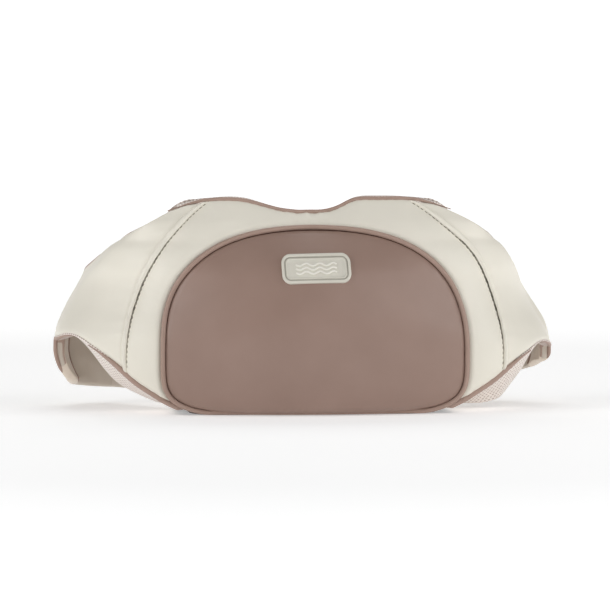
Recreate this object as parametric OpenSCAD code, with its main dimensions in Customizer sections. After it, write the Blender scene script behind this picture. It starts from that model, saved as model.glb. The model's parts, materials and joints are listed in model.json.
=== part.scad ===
// Padded neck and shoulder massager that stands on its own flat base.
// +X is the wearer-side width, +Y points to the massaging side, +Z is up.
// The origin is on the base plane, below the middle of the padded body.

/* [Overall size] */
// Width across both arm loops
overall_w = 402; // [394:1:412]
// Height of the two rounded shoulders of the cover
overall_h = 169; // [167:1:173]

/* [Front panel] */
// Half of the width of the domed front panel
panel_half_w = 118.6; // [112:0.2:121]
// Height of the widest line of the panel
panel_mid_z = 50; // [46:1:54]
// Rise of the panel above its widest line
panel_rise = 95.5; // [94:0.5:98]
// Fall of the panel below its widest line
panel_fall = 46.5; // [44:0.5:46.5]
// Padding thickness of the covers
pad_t = 8; // [7:0.5:9]
// Radius of the sewn piping
piping_r = 2.3; // [1.8:0.1:2.6]

/* [Badge] */
// Badge width
badge_w = 56; // [48:1:62]
// Badge height along the panel
badge_h = 25; // [20:1:28]
// Badge thickness
badge_t = 3; // [2:0.5:4]
// Height of the badge's middle above the base
badge_z = 115; // [110:1:118]

/* [Arm loops] */
// Lowest height of the strap of the left loop
left_loop_low = 14; // [12:1:24]
// Lowest height of the strap of the right loop
right_loop_low = 21; // [14:1:28]
// Thickness of the loop strap
strap_t = 5; // [4:0.5:6]
// Padding thickness of the wing's outer side
wing_pad_t = 10; // [8:0.5:11]
// Last x of the body before the line where a wing bends
body_end_x = 148; // [146:1:149]
// First x of the wing after the line where it bends
wing_start_x = 160; // [159:1:162]

/* [Drive] */
// Gear module of worm and wheels
gear_module = 2.25; // [2.25]
// Teeth on each worm wheel
wheel_teeth = 32; // [32]
// Pitch radius of the worm
worm_pitch_r = 9; // [9]
// Face width of a worm wheel
wheel_face = 8; // [6:0.5:8]
// Height of the two head axes
head_z = 80; // [79:0.5:81]
// Middle of the gear plane along Y
gear_y = -38; // [-38.5:0.5:-37.5]
// Radius of a head shaft
head_shaft_r = 5; // [4.5:0.5:5.5]
// Radius of the worm's shaft
worm_shaft_r = 3; // [2.5:0.5:3]
// Running clearance on radius of every turning fit
run_gap = 0.05; // [0.02:0.01:0.1]
// Motor can radius
motor_r = 16; // [14:0.5:16]
// Wall thickness of the gearbox plates
plate_t = 4; // [3.5:0.5:4]

/* [Massage heads] */
// Distance from a head's axis to each node's axis
orbit_r = 24; // [22:0.5:25]
// Radius of a kneading node
node_r = 16; // [14:0.5:17]
// Radius of a node's axle
axle_r = 3; // [2.5:0.5:3.5]

/* [Controls] */
// Width of the control pod
pod_w = 20; // [18:1:22]
// Length of the control pod
pod_h = 44; // [42:1:46]
// Diameter of a push button
button_d = 10; // [8:0.5:10]
// Spacing of the push buttons
button_pitch = 12.5; // [12:0.5:13]

/* [Hidden] */

$fn = 48;
wide = overall_w / 402;
high = overall_h / 169;
pitch_r = gear_module * wheel_teeth / 2;
axial_pitch = PI * gear_module;
head_x = pitch_r + worm_pitch_r;
lift = 0.01;

// Lines of the padded shape, each a list of [height, value] or [x, value] knots.
FRONT_LINE = [[0, -73], [8, -79], [20, -84], [50, -87], [80, -84], [110, -72], [125, -61],
    [140, -45], [150, -33], [160, -22], [175, -10]];
HALF_WIDTH = [[0, 201], [53, 201], [64, 197.5], [79, 188.5], [94, 179.5], [106, 173], [118, 166], [130, 156],
    [136, 149.5], [145, 139], [151, 131], [158, 121], [165, 112], [175, 104]];
REACH_BACK = [[0, 128], [56, 131], [70, 137], [85, 142], [101, 130], [118, 95], [134, 60],
    [149, 20], [158, 10], [175, 0]];
TOP_EDGE = [[0, 158.3], [10, 158.5], [22, 160.8], [36, 165.7], [50, 168], [70, 168.8], [85, 168], [98, 165.8],
    [110, 162.8], [121, 158.5], [130, 152], [139, 145], [149, 136.5]];
HEM_EDGE = [[104, 5], [118, 11], [128, 17], [143, 27], [157, 40], [168, 50], [184, 60.5], [201, 66]];
BACK_LINE = [[0, 17], [10, 24], [40, 27.5], [80, 29], [115, 27.5], [135, 21], [150, 12], [163, 0],
    [180, -14]];
BACK_SIDE = [[0, 0], [90, 0], [106, -4], [118, -11], [132, -22], [150, -31]];
BACK_LOW = [[0, 3.4], [100, 3.4], [116, 5.5], [130, 9], [150, 17]];
COVER_POLAR = [[-16, 131], [-9, 144], [-4, 150], [8, 149.2], [30, 148.6], [50, 148.4], [54, 145.8],
    [59, 138.6], [65, 130.6], [71, 123.4], [77, 115], [80, 111.8], [83, 109.8], [87, 108.4], [90, 108.3]];

// ---- Curves ----
function knot_slope(k, i) = let (a = max(i - 1, 0), b = min(i + 1, len(k) - 1))
    (k[b][1] - k[a][1]) / (k[b][0] - k[a][0]);
function knot_span(k, t, i = 0) = i >= len(k) - 2 || t < k[i + 1][0] ? i : knot_span(k, t, i + 1);
// Smooth curve through the knots, held level past both ends
function smooth(k, t) = let (
    c = min(max(t, k[0][0]), k[len(k) - 1][0]),
    i = knot_span(k, c),
    h = k[i + 1][0] - k[i][0],
    s = (c - k[i][0]) / h,
    rise = s * s * (3 - 2 * s))
    k[i][1] * (1 - rise) + k[i + 1][1] * rise
    + h * (knot_slope(k, i) * s * (1 - s) * (1 - s) - knot_slope(k, i + 1) * s * s * (1 - s));
function mix(a, b, t) = a * (1 - t) + b * t;
function bezier(p, t) = p[0] * pow(1 - t, 3) + 3 * p[1] * t * pow(1 - t, 2)
    + 3 * p[2] * t * t * (1 - t) + p[3] * pow(t, 3);

// ---- The padded body's surfaces ----
function half_at(z) = wide * smooth(HALF_WIDTH, z / high);
function top_z(x) = high * smooth(TOP_EDGE, abs(x) / wide);
function hem_z(x) = smooth(HEM_EDGE, abs(x) / wide);
// Hollow that the cover has between its two shoulders
function dip(x, z) = 15 * exp(-pow(x / 24, 2)) * pow(max(0, (z / high - 122) / 41), 1.4);
function front_y(x, z) = smooth(FRONT_LINE, z / high) + dip(x, z)
    + smooth(REACH_BACK, z / high) * (1 - sqrt(max(0, 1 - pow(min(abs(x) / half_at(z), 1), 2))));
function back_y(x, z) = smooth(BACK_LINE, z / high) + smooth(BACK_SIDE, abs(x) / wide)
    + 9 * exp(-pow((abs(x) - 62) / 34, 2)) * max(0, min(1, (z / high - 130) / 30));
function front_point(x, z) = [x, front_y(x, z), z];
function back_point(x, z) = [x, back_y(x, z), z];

// ---- Solids from grids of points ----
// A grid is a list of columns; columns run along the width and each column runs upwards.
function grid(m, n, f) = [for (i = [0:m]) [for (j = [0:n]) f(i / m, j / n)]];
function unit(v) = v / max(norm(v), 1e-9);
function grid_normal(g, i, j) = let (m = len(g) - 1, n = len(g[0]) - 1)
    unit(cross(g[min(i + 1, m)][j] - g[max(i - 1, 0)][j], g[i][min(j + 1, n)] - g[i][max(j - 1, 0)]));
function sunk(g, t) = [for (i = [0:len(g) - 1]) [for (j = [0:len(g[0]) - 1])
    g[i][j] - t * grid_normal(g, i, j)]];

// Closed solid between an outer and an inner grid of the same size
module between(outer, inner) {
    m = len(outer) - 1;
    n = len(outer[0]) - 1;
    side = (m + 1) * (n + 1);
    function o(i, j) = i * (n + 1) + j;
    function q(i, j) = side + o(i, j);
    polyhedron(
        points = [for (g = [outer, inner]) for (column = g) for (p = column) p],
        faces = concat(
            [for (i = [0:m - 1], j = [0:n - 1]) each [
                [o(i, j), o(i, j + 1), o(i + 1, j + 1)], [o(i, j), o(i + 1, j + 1), o(i + 1, j)],
                [q(i, j), q(i + 1, j + 1), q(i, j + 1)], [q(i, j), q(i + 1, j), q(i + 1, j + 1)]]],
            [for (i = [0:m - 1]) each [
                [o(i, 0), o(i + 1, 0), q(i + 1, 0)], [o(i, 0), q(i + 1, 0), q(i, 0)],
                [o(i + 1, n), o(i, n), q(i, n)], [o(i + 1, n), q(i, n), q(i + 1, n)]]],
            [for (j = [0:n - 1]) each [
                [o(0, j + 1), o(0, j), q(0, j)], [o(0, j + 1), q(0, j), q(0, j + 1)],
                [o(m, j), o(m, j + 1), q(m, j + 1)], [o(m, j), q(m, j + 1), q(m, j)]]]),
        convexity = 6);
}

// Skin from depth a to depth b under a surface
module layer(g, a, b) {
    between(a == 0 ? g : sunk(g, a), sunk(g, b));
}

// Round tube along a list of points; reference is a direction that the path never runs along
module tube(path, r, sides = 8, reference = [0.35, 1, 0.2]) {
    last = len(path) - 1;
    function heading(i) = unit(path[min(i + 1, last)] - path[max(i - 1, 0)]);
    function across(i) = unit(cross(heading(i), reference));
    function ring(i) = let (a = across(i), b = cross(heading(i), a))
        [for (k = [0:sides - 1]) path[i] + r * (cos(360 * k / sides) * a + sin(360 * k / sides) * b)];
    polyhedron(
        points = [for (i = [0:last]) each ring(i)],
        faces = concat(
            [[for (k = [0:sides - 1]) k]],
            [[for (k = [sides - 1:-1:0]) last * sides + k]],
            [for (i = [0:last - 1], k = [0:sides - 1]) let (n = (k + 1) % sides) each [
                [i * sides + k, (i + 1) * sides + k, (i + 1) * sides + n],
                [i * sides + k, (i + 1) * sides + n, i * sides + n]]]),
        convexity = 6);
}

// Cylinder along +Y that starts at y0 and ends at y1
module y_rod(x, z, y0, y1, r) {
    translate([x, y0, z])
        rotate([-90, 0, 0])
            cylinder(r = r, h = y1 - y0);
}

module rounded_plate(w, h, t, r) {
    linear_extrude(height = t)
        hull()
            for (sx = [-1, 1], sz = [-1, 1])
                translate([sx * (w / 2 - r), sz * (h / 2 - r)])
                    circle(r = r);
}

module left_side() {
    mirror([1, 0, 0]) children();
}

// ---- Front panel ----
panel_top_power = 2.5;
panel_low_power = 4.7;
function panel_height(a, power) = pow(max(0, 1 - pow(abs(a), power)), 1 / power);
function panel_top(a) = panel_mid_z + panel_rise * panel_height(a, panel_top_power);
function panel_low(a) = panel_mid_z - panel_fall * panel_height(a, panel_low_power);
panel_end = 0.996;
function panel_grid(m, n, w) = grid(m, n, function(u, v)
    let (a = panel_end * sin(90 * (2 * u - 1)))
    front_point(w * a, mix(panel_low(a), panel_top(a), v)));
// Point of the panel's edge in the direction t degrees from its middle
function panel_edge(t, grow = 0) = let (
    p = sin(t) >= 0 ? panel_top_power : panel_low_power,
    h = sin(t) >= 0 ? panel_rise : panel_fall,
    r = 1 / pow(pow(abs(cos(t)) / panel_half_w, p) + pow(abs(sin(t)) / h, p), 1 / p))
    [(r + grow) * cos(t), panel_mid_z + (r + grow) * sin(t)];

module front_panel() {
    color([0.58, 0.49, 0.45]) layer(panel_grid(28, 10, panel_half_w - 0.4), 0, pad_t);
}

piping_start = -19;
module front_panel_piping() {
    color([0.62, 0.53, 0.49])
        tube([for (i = [0:44]) let (
            t = mix(piping_start, 180 - piping_start, i / 44),
            p = panel_edge(t, piping_r + 0.2))
            [p[0], front_y(p[0], p[1]) - 0.6, p[1]]], piping_r);
}

function cover_point(t, v) = let (
    fold = t > 90 ? 180 - t : t,
    inner = norm(panel_edge(fold, 2 * piping_r + 0.6) - [0, panel_mid_z]),
    outer = smooth(COVER_POLAR, fold),
    r = mix(inner, max(outer, inner + 1.5), v))
    front_point(r * cos(t), panel_mid_z + r * sin(t));

module front_cover() {
    color([0.87, 0.85, 0.8])
        layer(grid(40, 6, function(u, v) cover_point(mix(194, -14, u), 1 - v)), 0, pad_t);
}

module badge() {
    slope = atan2(front_y(0, badge_z + 8) - front_y(0, badge_z - 8), 16);
    color([0.79, 0.78, 0.73])
        translate([0, front_y(0, badge_z), badge_z])
            rotate([90 - slope, 0, 0])
                translate([0, 0, 0.2])
                    rounded_plate(badge_w, badge_h, badge_t, 6);
}

// ---- Back, base and trim ----
top_x = body_end_x - 0.5;
module top_piping() {
    color([0.62, 0.53, 0.49])
        tube([for (i = [0:56]) let (x = mix(-top_x, top_x, i / 56), z = top_z(x))
            [x, front_y(x, min(z, top_z(0) + 12)) + 3 + 9 * smooth([[0, 0], [100, 0], [148, 1]], abs(x)), z]],
            piping_r);
}

function back_grid(m, n) = grid(m, n, function(u, v)
    let (x = mix(body_end_x, -body_end_x, u),
        low = smooth(BACK_LOW, abs(x)),
        z = mix(low, top_z(x) - 5, v))
    back_point(x, z));

mesh_t = 4;
module mesh_cover() {
    color([0.9, 0.87, 0.84]) layer(back_grid(36, 12), 0, mesh_t);
}

base_t = 3;
base_w = 200;
base_d = 78;
base_mid_y = -23;
base_corner_r = 26;
module base_panel() {
    color([0.4, 0.34, 0.31])
        translate([0, base_mid_y, 0])
            rounded_plate(base_w, base_d, base_t, base_corner_r);
}

zip_z = 9;
zip_half_l = 96;
tape_w = 6;
tape_t = 1.6;
slider_l = 10;
slider_w = 7;
slider_t = 2.4;
pull_l = 20;
pull_w = 4;
pull_t = 1.6;
module zipper_tape() {
    color([0.45, 0.38, 0.35])
        translate([-zip_half_l, back_y(0, zip_z) + 1, zip_z - tape_w / 2])
            cube([2 * zip_half_l, tape_t, tape_w]);
}

module zipper_slider() {
    slider_y = back_y(0, zip_z) + 2.9;
    color([0.7, 0.7, 0.7])
        union() {
            translate([2 - zip_half_l, slider_y, zip_z - slider_w / 2])
                cube([slider_l, slider_t, slider_w]);
            translate([1 + slider_l - zip_half_l, slider_y + 0.4, zip_z - pull_w / 2])
                cube([pull_l, pull_t, pull_w]);
        }
}

// ---- Side pads between the front cover and the mesh ----
seam_r = 148.6;
function seam_x(z) = sqrt(max(0, pow(seam_r, 2) - pow(z - panel_mid_z, 2)));
foam_gap = 2;
foam_start_x = 118;
foam_low_z = 34;
foam_high_z = 128;
module side_foam() {
    rows = 8;
    front = grid(8, rows, function(u, v) let (
        z = mix(foam_low_z, foam_high_z, v), x = mix(foam_start_x, body_end_x - 12, u))
        [x, front_y(x, z) + pad_t * 1.7 + 2, z]);
    back = [for (column = front) [for (p = column) [p[0], back_y(p[0], p[2]) - mesh_t - foam_gap, p[2]]]];
    color([0.93, 0.9, 0.75]) between(front, back);
}
module left_side_foam() { left_side() side_foam(); }
module right_side_foam() { side_foam(); }

// Upper wing fabric that stays with the body, from the long seam out to the bend line
root_low_z = 76;
root_high_z = 156;
module wing_root() {
    color([0.87, 0.85, 0.8])
        layer(grid(6, 12, function(u, v) let (
            z = mix(root_low_z, root_high_z, v),
            outer = min(body_end_x, half_at(z) - 1.5),
            x = mix(min(seam_x(z) + 1.2, outer - 2), outer, u))
            front_point(x, z)), 0, pad_t);
}
module left_wing_root() { left_side() wing_root(); }
module right_wing_root() { wing_root(); }

function hem_point(x) = front_point(x, hem_z(x)) + [0, 1.5, -0.5];
module hem_piping() {
    color([0.62, 0.53, 0.49])
        tube([for (i = [0:14]) hem_point(mix(110, body_end_x - 0.5, i / 14))], piping_r);
}
module left_hem_piping() { left_side() hem_piping(); }
module right_hem_piping() { hem_piping(); }

// ---- Wings ----
loop_back_y = 80;
tip_x = 200;
function wing_grid(m, n, start_x, inner_top, outer_top) = grid(m, n, function(u, v) let (
    low = mix(hem_z(start_x), hem_z(tip_x), u),
    top = mix(inner_top, outer_top, u),
    z = mix(low, top, v),
    x = mix(start_x, half_at(z) - 0.3, sin(90 * u)))
    front_point(x, z));

// Heights of the upper edge at its inner and outer end
wing_panel_tops = [119, 110];
lining_tops = [104, 100];
module wing_panel() {
    color([0.87, 0.85, 0.8])
        layer(wing_grid(10, 9, wing_start_x, wing_panel_tops[0], wing_panel_tops[1]), 0, wing_pad_t);
}
module left_wing_panel() { left_side() wing_panel(); }
module right_wing_panel() { wing_panel(); }

lining_start_x = 168;
module wing_lining() {
    color([0.6, 0.55, 0.51])
        layer(wing_grid(8, 8, lining_start_x, lining_tops[0], lining_tops[1]),
            wing_pad_t + 0.4, wing_pad_t + 3);
}
module left_wing_lining() { left_side() wing_lining(); }
module right_wing_lining() { wing_lining(); }

wing_piping_end_x = 196;
module wing_piping() {
    color([0.62, 0.53, 0.49])
        tube([for (i = [0:14]) hem_point(wide * mix(wing_start_x, wing_piping_end_x, sin(90 * i / 14)))],
            piping_r, reference = [0, 0, 1]);
}
module left_wing_piping() { left_side() wing_piping(); }
module right_wing_piping() { wing_piping(); }

// Strap behind the arm: it leaves the wing's tip and comes back to the body
strap_turn_x = 185;
function tip_y(z) = front_y(half_at(z), z);
function strap_plan(z) = let (x = half_at(z), y = tip_y(z)) [
    [x, y + 1, z], [x, mix(y, loop_back_y, 0.7), z],
    [strap_turn_x * wide, loop_back_y + 10, z], [wing_start_x, loop_back_y, z]];
function strap_low(low, t) = low + 12 * pow(1 - t, 3);
strap_top = 104;
module loop_strap(low) {
    color([0.87, 0.85, 0.8])
        layer(grid(14, 8, function(u, v)
            bezier(strap_plan(mix(strap_low(low, u), strap_top + 4 * u, v)), u)), 0, strap_t);
}
module left_loop_strap() { left_side() loop_strap(left_loop_low); }
module right_loop_strap() { loop_strap(right_loop_low); }

// Control points of the strap's inner end in plan, which comes back to the body
STRAP_ROOT_PLAN = [[body_end_x, loop_back_y - 8], [136, loop_back_y - 18],
    [124, loop_back_y - 38], [113, loop_back_y - 53]];
module strap_root(low) {
    color([0.87, 0.85, 0.8])
        layer(grid(8, 6, function(u, v) let (
            z = mix(low, strap_top + 5 + 4 * u, v),
            plan = bezier(STRAP_ROOT_PLAN, u))
            [plan[0], plan[1], z]), 0, strap_t);
}
module left_strap_root() { left_side() strap_root(left_loop_low); }
module right_strap_root() { strap_root(right_loop_low); }

// Suede band over the fold at the outer end of a loop
band_w = 9;
band_t = 2;
band_top_z = 64;
module loop_band(low) {
    color([0.77, 0.72, 0.66])
        layer(grid(4, 8, function(u, v) let (z = mix(low + 12, band_top_z, v))
            [half_at(z) + 0.6 * sin(180 * u) - 1.4, tip_y(z) - 11 + band_w * u, z]), 0, band_t);
}
module left_loop_band() { left_side() loop_band(left_loop_low); }
module right_loop_band() { loop_band(right_loop_low); }

// ---- Hard shell and frame ----
shell_t = 2.5;
shell_inset = 5;
frame_y = -20;
frame_t = 3.5;
head_hole_r = 42.5;
screw_spots = [[-98, 84], [98, 84], [-96, 36], [96, 36], [0, 133]];
screw_depth = 12;
boss_r = 5;
wire_hole_spots = [[-62, 36], [-80, 36]];
wire_hole_r = 2;
frame_screw_r = 2;
frame_screw_head_r = 3.6;
pilot_clearance = 0.1;
hole_clearance = 0.2;
standoff_r = 4;
standoff_spots_z = [52, 107];
shell_front_y = -90;

module panel_prism(shrink, y0, y1) {
    translate([0, y1, 0])
        rotate([90, 0, 0])
            linear_extrude(height = y1 - y0)
                polygon([for (i = [0:47]) panel_edge(360 * i / 48, -shrink)]);
}

module behind_front(depth) {
    front = sunk(panel_grid(16, 8, panel_half_w), depth);
    back = [for (column = front) [for (p = column) [p[0], 20, p[2]]]];
    between(front, back);
}

module front_shell() {
    color([0.25, 0.25, 0.26])
        difference() {
            intersection() {
                behind_front(pad_t + 1);
                panel_prism(shell_inset, shell_front_y, frame_y - 0.2);
            }
            difference() {
                intersection() {
                    behind_front(pad_t + 1 + shell_t);
                    panel_prism(shell_inset + shell_t, shell_front_y - 1, frame_y + 1);
                }
                for (p = screw_spots)
                    y_rod(p[0], p[1], shell_front_y, frame_y, boss_r);
            }
            for (p = screw_spots)
                y_rod(p[0], p[1], frame_y - screw_depth - 2, frame_y + 1, frame_screw_r + pilot_clearance);
        }
}

module rear_frame() {
    color([0.3, 0.3, 0.31])
        difference() {
            union() {
                panel_prism(shell_inset, frame_y, frame_y + frame_t);
                for (z = standoff_spots_z)
                    y_rod(0, z, box_cover_y + plate_t, frame_y + lift, standoff_r);
            }
            for (s = [-1, 1])
                y_rod(s * head_x, head_z, frame_y - 1, frame_y + frame_t + 1, head_hole_r);
            for (p = screw_spots)
                y_rod(p[0], p[1], frame_y - 1, frame_y + frame_t + 1, frame_screw_r + hole_clearance);
            for (p = wire_hole_spots)
                y_rod(p[0], p[1], frame_y - 1, frame_y + frame_t + 1, wire_hole_r);
        }
}

screw_head_t = 2;
module screw(x, z, y0, y1, r, head_r) {
    y_rod(x, z, y0, y1 + lift, r);
    y_rod(x, z, y1, y1 + screw_head_t, head_r);
}

module frame_screws() {
    color([0.6, 0.6, 0.62])
        for (p = screw_spots)
            screw(p[0], p[1], frame_y - screw_depth, frame_y + frame_t, frame_screw_r, frame_screw_head_r);
}

// ---- Gearbox ----
box_front_y = -51;
box_cover_y = -30;
box_low_z = 45.5;
box_step_z = 72;
box_top_z = 101;
box_low_half_w = 82;
box_top_half_w = 62;
post_x = 76;
post_z = box_low_z + 4.5;
bearing_z = 103;
bearing_h = 8;
bearing_r = 6;
bearing_screw_x = 8.8;
arm_half_w = 12;
post_r = 4.5;
box_screw_r = 1.6;
box_screw_head_r = 2.6;
box_screw_spots = [[-post_x, post_z], [post_x, post_z],
    [-bearing_screw_x, bearing_z + bearing_h / 2], [bearing_screw_x, bearing_z + bearing_h / 2]];
bush_r = 9;
worm_window_half_w = 13;

// Plate with a window for the worm, which is wider than the gearbox is deep
module gearbox_plate(y0) {
    difference() {
        union() {
            translate([-box_low_half_w, y0, box_low_z])
                cube([2 * box_low_half_w, plate_t, box_step_z - box_low_z]);
            translate([-box_top_half_w, y0, box_step_z - 1])
                cube([2 * box_top_half_w, plate_t, box_top_z - box_step_z + 1]);
            translate([-arm_half_w, y0, box_top_z - 1])
                cube([2 * arm_half_w, plate_t, bearing_z + bearing_h - box_top_z + 1]);
        }
        for (s = [-1, 1])
            y_rod(s * head_x, head_z, y0 - 1, y0 + plate_t + 1, bush_r);
        for (p = box_screw_spots)
            y_rod(p[0], p[1], y0 - 1, y0 + plate_t + 1, box_screw_r);
        translate([-worm_window_half_w, y0 - 1, head_z - worm_half_l - 2])
            cube([2 * worm_window_half_w, plate_t + 2, 2 * worm_half_l + 4]);
    }
}

module gearbox_base() {
    inner_y = box_front_y + plate_t;
    color([0.8, 0.8, 0.78])
        union() {
            gearbox_plate(box_front_y);
            for (s = [-1, 1])
                difference() {
                    y_rod(s * post_x, post_z, inner_y - lift, box_cover_y, post_r);
                    y_rod(s * post_x, post_z, inner_y - 1, box_cover_y + 1, box_screw_r);
                }
            // Arm that holds the worm's top bearing and is the upper post
            difference() {
                translate([-arm_half_w, inner_y - lift, bearing_z])
                    cube([2 * arm_half_w, box_cover_y - inner_y + lift, bearing_h]);
                translate([0, gear_y, bearing_z - 1])
                    cylinder(r = bearing_r, h = bearing_h + 2);
                for (s = [-1, 1])
                    y_rod(s * bearing_screw_x, bearing_z + bearing_h / 2, inner_y - 1, box_cover_y + 1,
                        box_screw_r);
            }
        }
}

module gearbox_cover() {
    color([0.8, 0.8, 0.78]) gearbox_plate(box_cover_y);
}

module gearbox_screws() {
    color([0.6, 0.6, 0.62])
        for (p = box_screw_spots)
            screw(p[0], p[1], box_front_y + 1, box_cover_y + plate_t, box_screw_r, box_screw_head_r);
}

module head_bushes() {
    color([0.75, 0.6, 0.3])
        for (s = [-1, 1], y = [box_front_y, box_cover_y])
            difference() {
                y_rod(s * head_x, head_z, y, y + plate_t, bush_r);
                y_rod(s * head_x, head_z, y - 1, y + plate_t + 1, head_shaft_r + run_gap);
            }
}

// ---- Motor and worm ----
motor_low_z = 13.5;
motor_top_z = 42;
motor_cap_r = 5;
motor_cap_t = 1.5;
motor_bore_above = 10;
bracket_t = 3;
bracket_half_w = 19;
bracket_d = 30;
bracket_wall_h = 16;
bracket_hole_r = 7;
module motor() {
    color([0.65, 0.66, 0.68])
        difference() {
            union() {
                translate([0, gear_y, motor_low_z]) cylinder(r = motor_r, h = motor_top_z - motor_low_z);
                translate([0, gear_y, motor_low_z - motor_cap_t])
                    cylinder(r = motor_cap_r, h = motor_cap_t + 0.5);
            }
            translate([0, gear_y, motor_low_z + motor_bore_above])
                cylinder(r = worm_shaft_r + run_gap, h = motor_top_z);
        }
}

module motor_bracket() {
    color([0.7, 0.7, 0.7])
        difference() {
            union() {
                translate([-bracket_half_w, box_front_y - bracket_t, motor_top_z])
                    cube([2 * bracket_half_w, bracket_d, bracket_t]);
                translate([-bracket_half_w, box_front_y - bracket_t, motor_top_z])
                    cube([2 * bracket_half_w, bracket_t, bracket_wall_h]);
            }
            translate([0, gear_y, motor_top_z - 1])
                cylinder(r = bracket_hole_r, h = bracket_t + 2);
        }
}

module worm_shaft() {
    low_z = motor_low_z + motor_bore_above + 1;
    color([0.75, 0.75, 0.77])
        translate([0, gear_y, low_z])
            cylinder(r = worm_shaft_r, h = bearing_z + bearing_h + 1 - low_z);
}

module worm_bearing() {
    color([0.75, 0.6, 0.3])
        translate([0, gear_y, bearing_z])
            difference() {
                cylinder(r = bearing_r, h = bearing_h);
                translate([0, 0, -1]) cylinder(r = worm_shaft_r + run_gap, h = bearing_h + 2);
            }
}

// Thread height above the root, as a share of the tooth depth, at phase 0..1 of the pitch
thread_flat = 0.11;
thread_foot = 0.3;
tooth_depth = 2.05 * gear_module;
function thread_rise(phase) = let (d = abs(phase - round(phase)))
    d < thread_flat ? 1 : d > thread_foot ? 0 : (thread_foot - d) / (thread_foot - thread_flat);
worm_half_l = 15;
worm_outer_r = worm_pitch_r + gear_module - 0.3;
worm_root_r = worm_outer_r - tooth_depth;
module worm() {
    sides = 24;
    rings = 48;
    function ring(j) = let (h = mix(-worm_half_l, worm_half_l, j / rings))
        [for (k = [0:sides - 1]) let (
            a = 360 * k / sides,
            fade = min(1, (worm_half_l - abs(h)) / 2),
            r = worm_root_r + tooth_depth * fade * thread_rise((h - axial_pitch * a / 360) / axial_pitch))
            [r * cos(a), gear_y + r * sin(a), head_z + h]];
    color([0.85, 0.75, 0.45])
        polyhedron(
            points = [for (j = [0:rings]) each ring(j)],
            faces = concat(
                [[for (k = [0:sides - 1]) k]],
                [[for (k = [sides - 1:-1:0]) rings * sides + k]],
                [for (j = [0:rings - 1], k = [0:sides - 1]) let (n = (k + 1) % sides) each [
                    [j * sides + k, (j + 1) * sides + k, (j + 1) * sides + n],
                    [j * sides + k, (j + 1) * sides + n, j * sides + n]]]),
            convexity = 8);
}

// ---- Worm wheels; each has its gap or tooth at angle 0 so that it meshes with the thread ----
tooth_root_half = 0.29;
tooth_tip_half = 0.1;
wheel_tip_r = pitch_r + gear_module - 0.35;
wheel_root_r = pitch_r - 1.15 * gear_module;
hub_r = 9;
hub_beyond = 2.5;
web_hole_r = 5;
web_hole_at = 19;
module wheel_outline(tooth_at_zero) {
    step = 360 / wheel_teeth;
    shift = tooth_at_zero ? 0 : 0.5;
    polygon([for (i = [0:wheel_teeth - 1]) each [
        for (c = [[-tooth_root_half, wheel_root_r], [-tooth_tip_half, wheel_tip_r],
                [tooth_tip_half, wheel_tip_r], [tooth_root_half, wheel_root_r]])
            c[1] * [cos(step * (i + shift + c[0])), sin(step * (i + shift + c[0]))]]]);
}

module worm_wheel(side) {
    color([0.92, 0.9, 0.84])
        translate([side * head_x, gear_y + wheel_face / 2, head_z])
            rotate([90, 0, 0])
                difference() {
                    union() {
                        linear_extrude(height = wheel_face) wheel_outline(side < 0);
                        translate([0, 0, -hub_beyond]) cylinder(r = hub_r, h = wheel_face + 2 * hub_beyond);
                    }
                    translate([0, 0, -hub_beyond - 1])
                        cylinder(r = head_shaft_r, h = wheel_face + 2 * hub_beyond + 2);
                    for (a = [30:60:330])
                        rotate([0, 0, a])
                            translate([web_hole_at, 0, -1]) cylinder(r = web_hole_r, h = wheel_face + 2);
                }
}
module left_worm_wheel() { worm_wheel(-1); }
module right_worm_wheel() { worm_wheel(1); }

plate_y = -14;
head_plate_t = 5;
head_plate_r = 17;
head_arm_r = 12;
module head_shaft(side) {
    color([0.75, 0.75, 0.77])
        y_rod(side * head_x, head_z, box_front_y - 2, plate_y + head_plate_t + 2, head_shaft_r);
}
module left_head_shaft() { head_shaft(-1); }
module right_head_shaft() { head_shaft(1); }

// ---- Massage heads; a head's two nodes sit on a slant across its axis ----
node_slant = 55;
function node_spot(side, k) = [
    side * head_x + side * k * orbit_r * cos(node_slant), head_z + k * orbit_r * sin(node_slant)];

module head_plate(side) {
    color([0.35, 0.35, 0.37])
        difference() {
            union() {
                y_rod(side * head_x, head_z, plate_y, plate_y + head_plate_t, head_plate_r);
                for (k = [-1, 1]) {
                    p = node_spot(side, k);
                    y_rod(p[0], p[1], plate_y, plate_y + head_plate_t, head_arm_r);
                }
            }
            y_rod(side * head_x, head_z, plate_y - 1, plate_y + head_plate_t + 1, head_shaft_r);
            for (k = [-1, 1]) {
                p = node_spot(side, k);
                y_rod(p[0], p[1], plate_y - 1, plate_y + head_plate_t + 1, axle_r);
            }
        }
}
module left_head_plate() { head_plate(-1); }
module right_head_plate() { head_plate(1); }

node_low_y = plate_y + head_plate_t + 0.6;
node_top_y = 21;
cap_y = 14;
cap_r = 5;
module node_axles(side) {
    color([0.75, 0.75, 0.77])
        for (k = [-1, 1]) {
            p = node_spot(side, k);
            y_rod(p[0], p[1], plate_y, cap_y + 0.3, axle_r);
            y_rod(p[0], p[1], cap_y + 0.2, cap_y + 2.8, cap_r);
        }
}
module left_node_axles() { node_axles(-1); }
module right_node_axles() { node_axles(1); }

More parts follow.
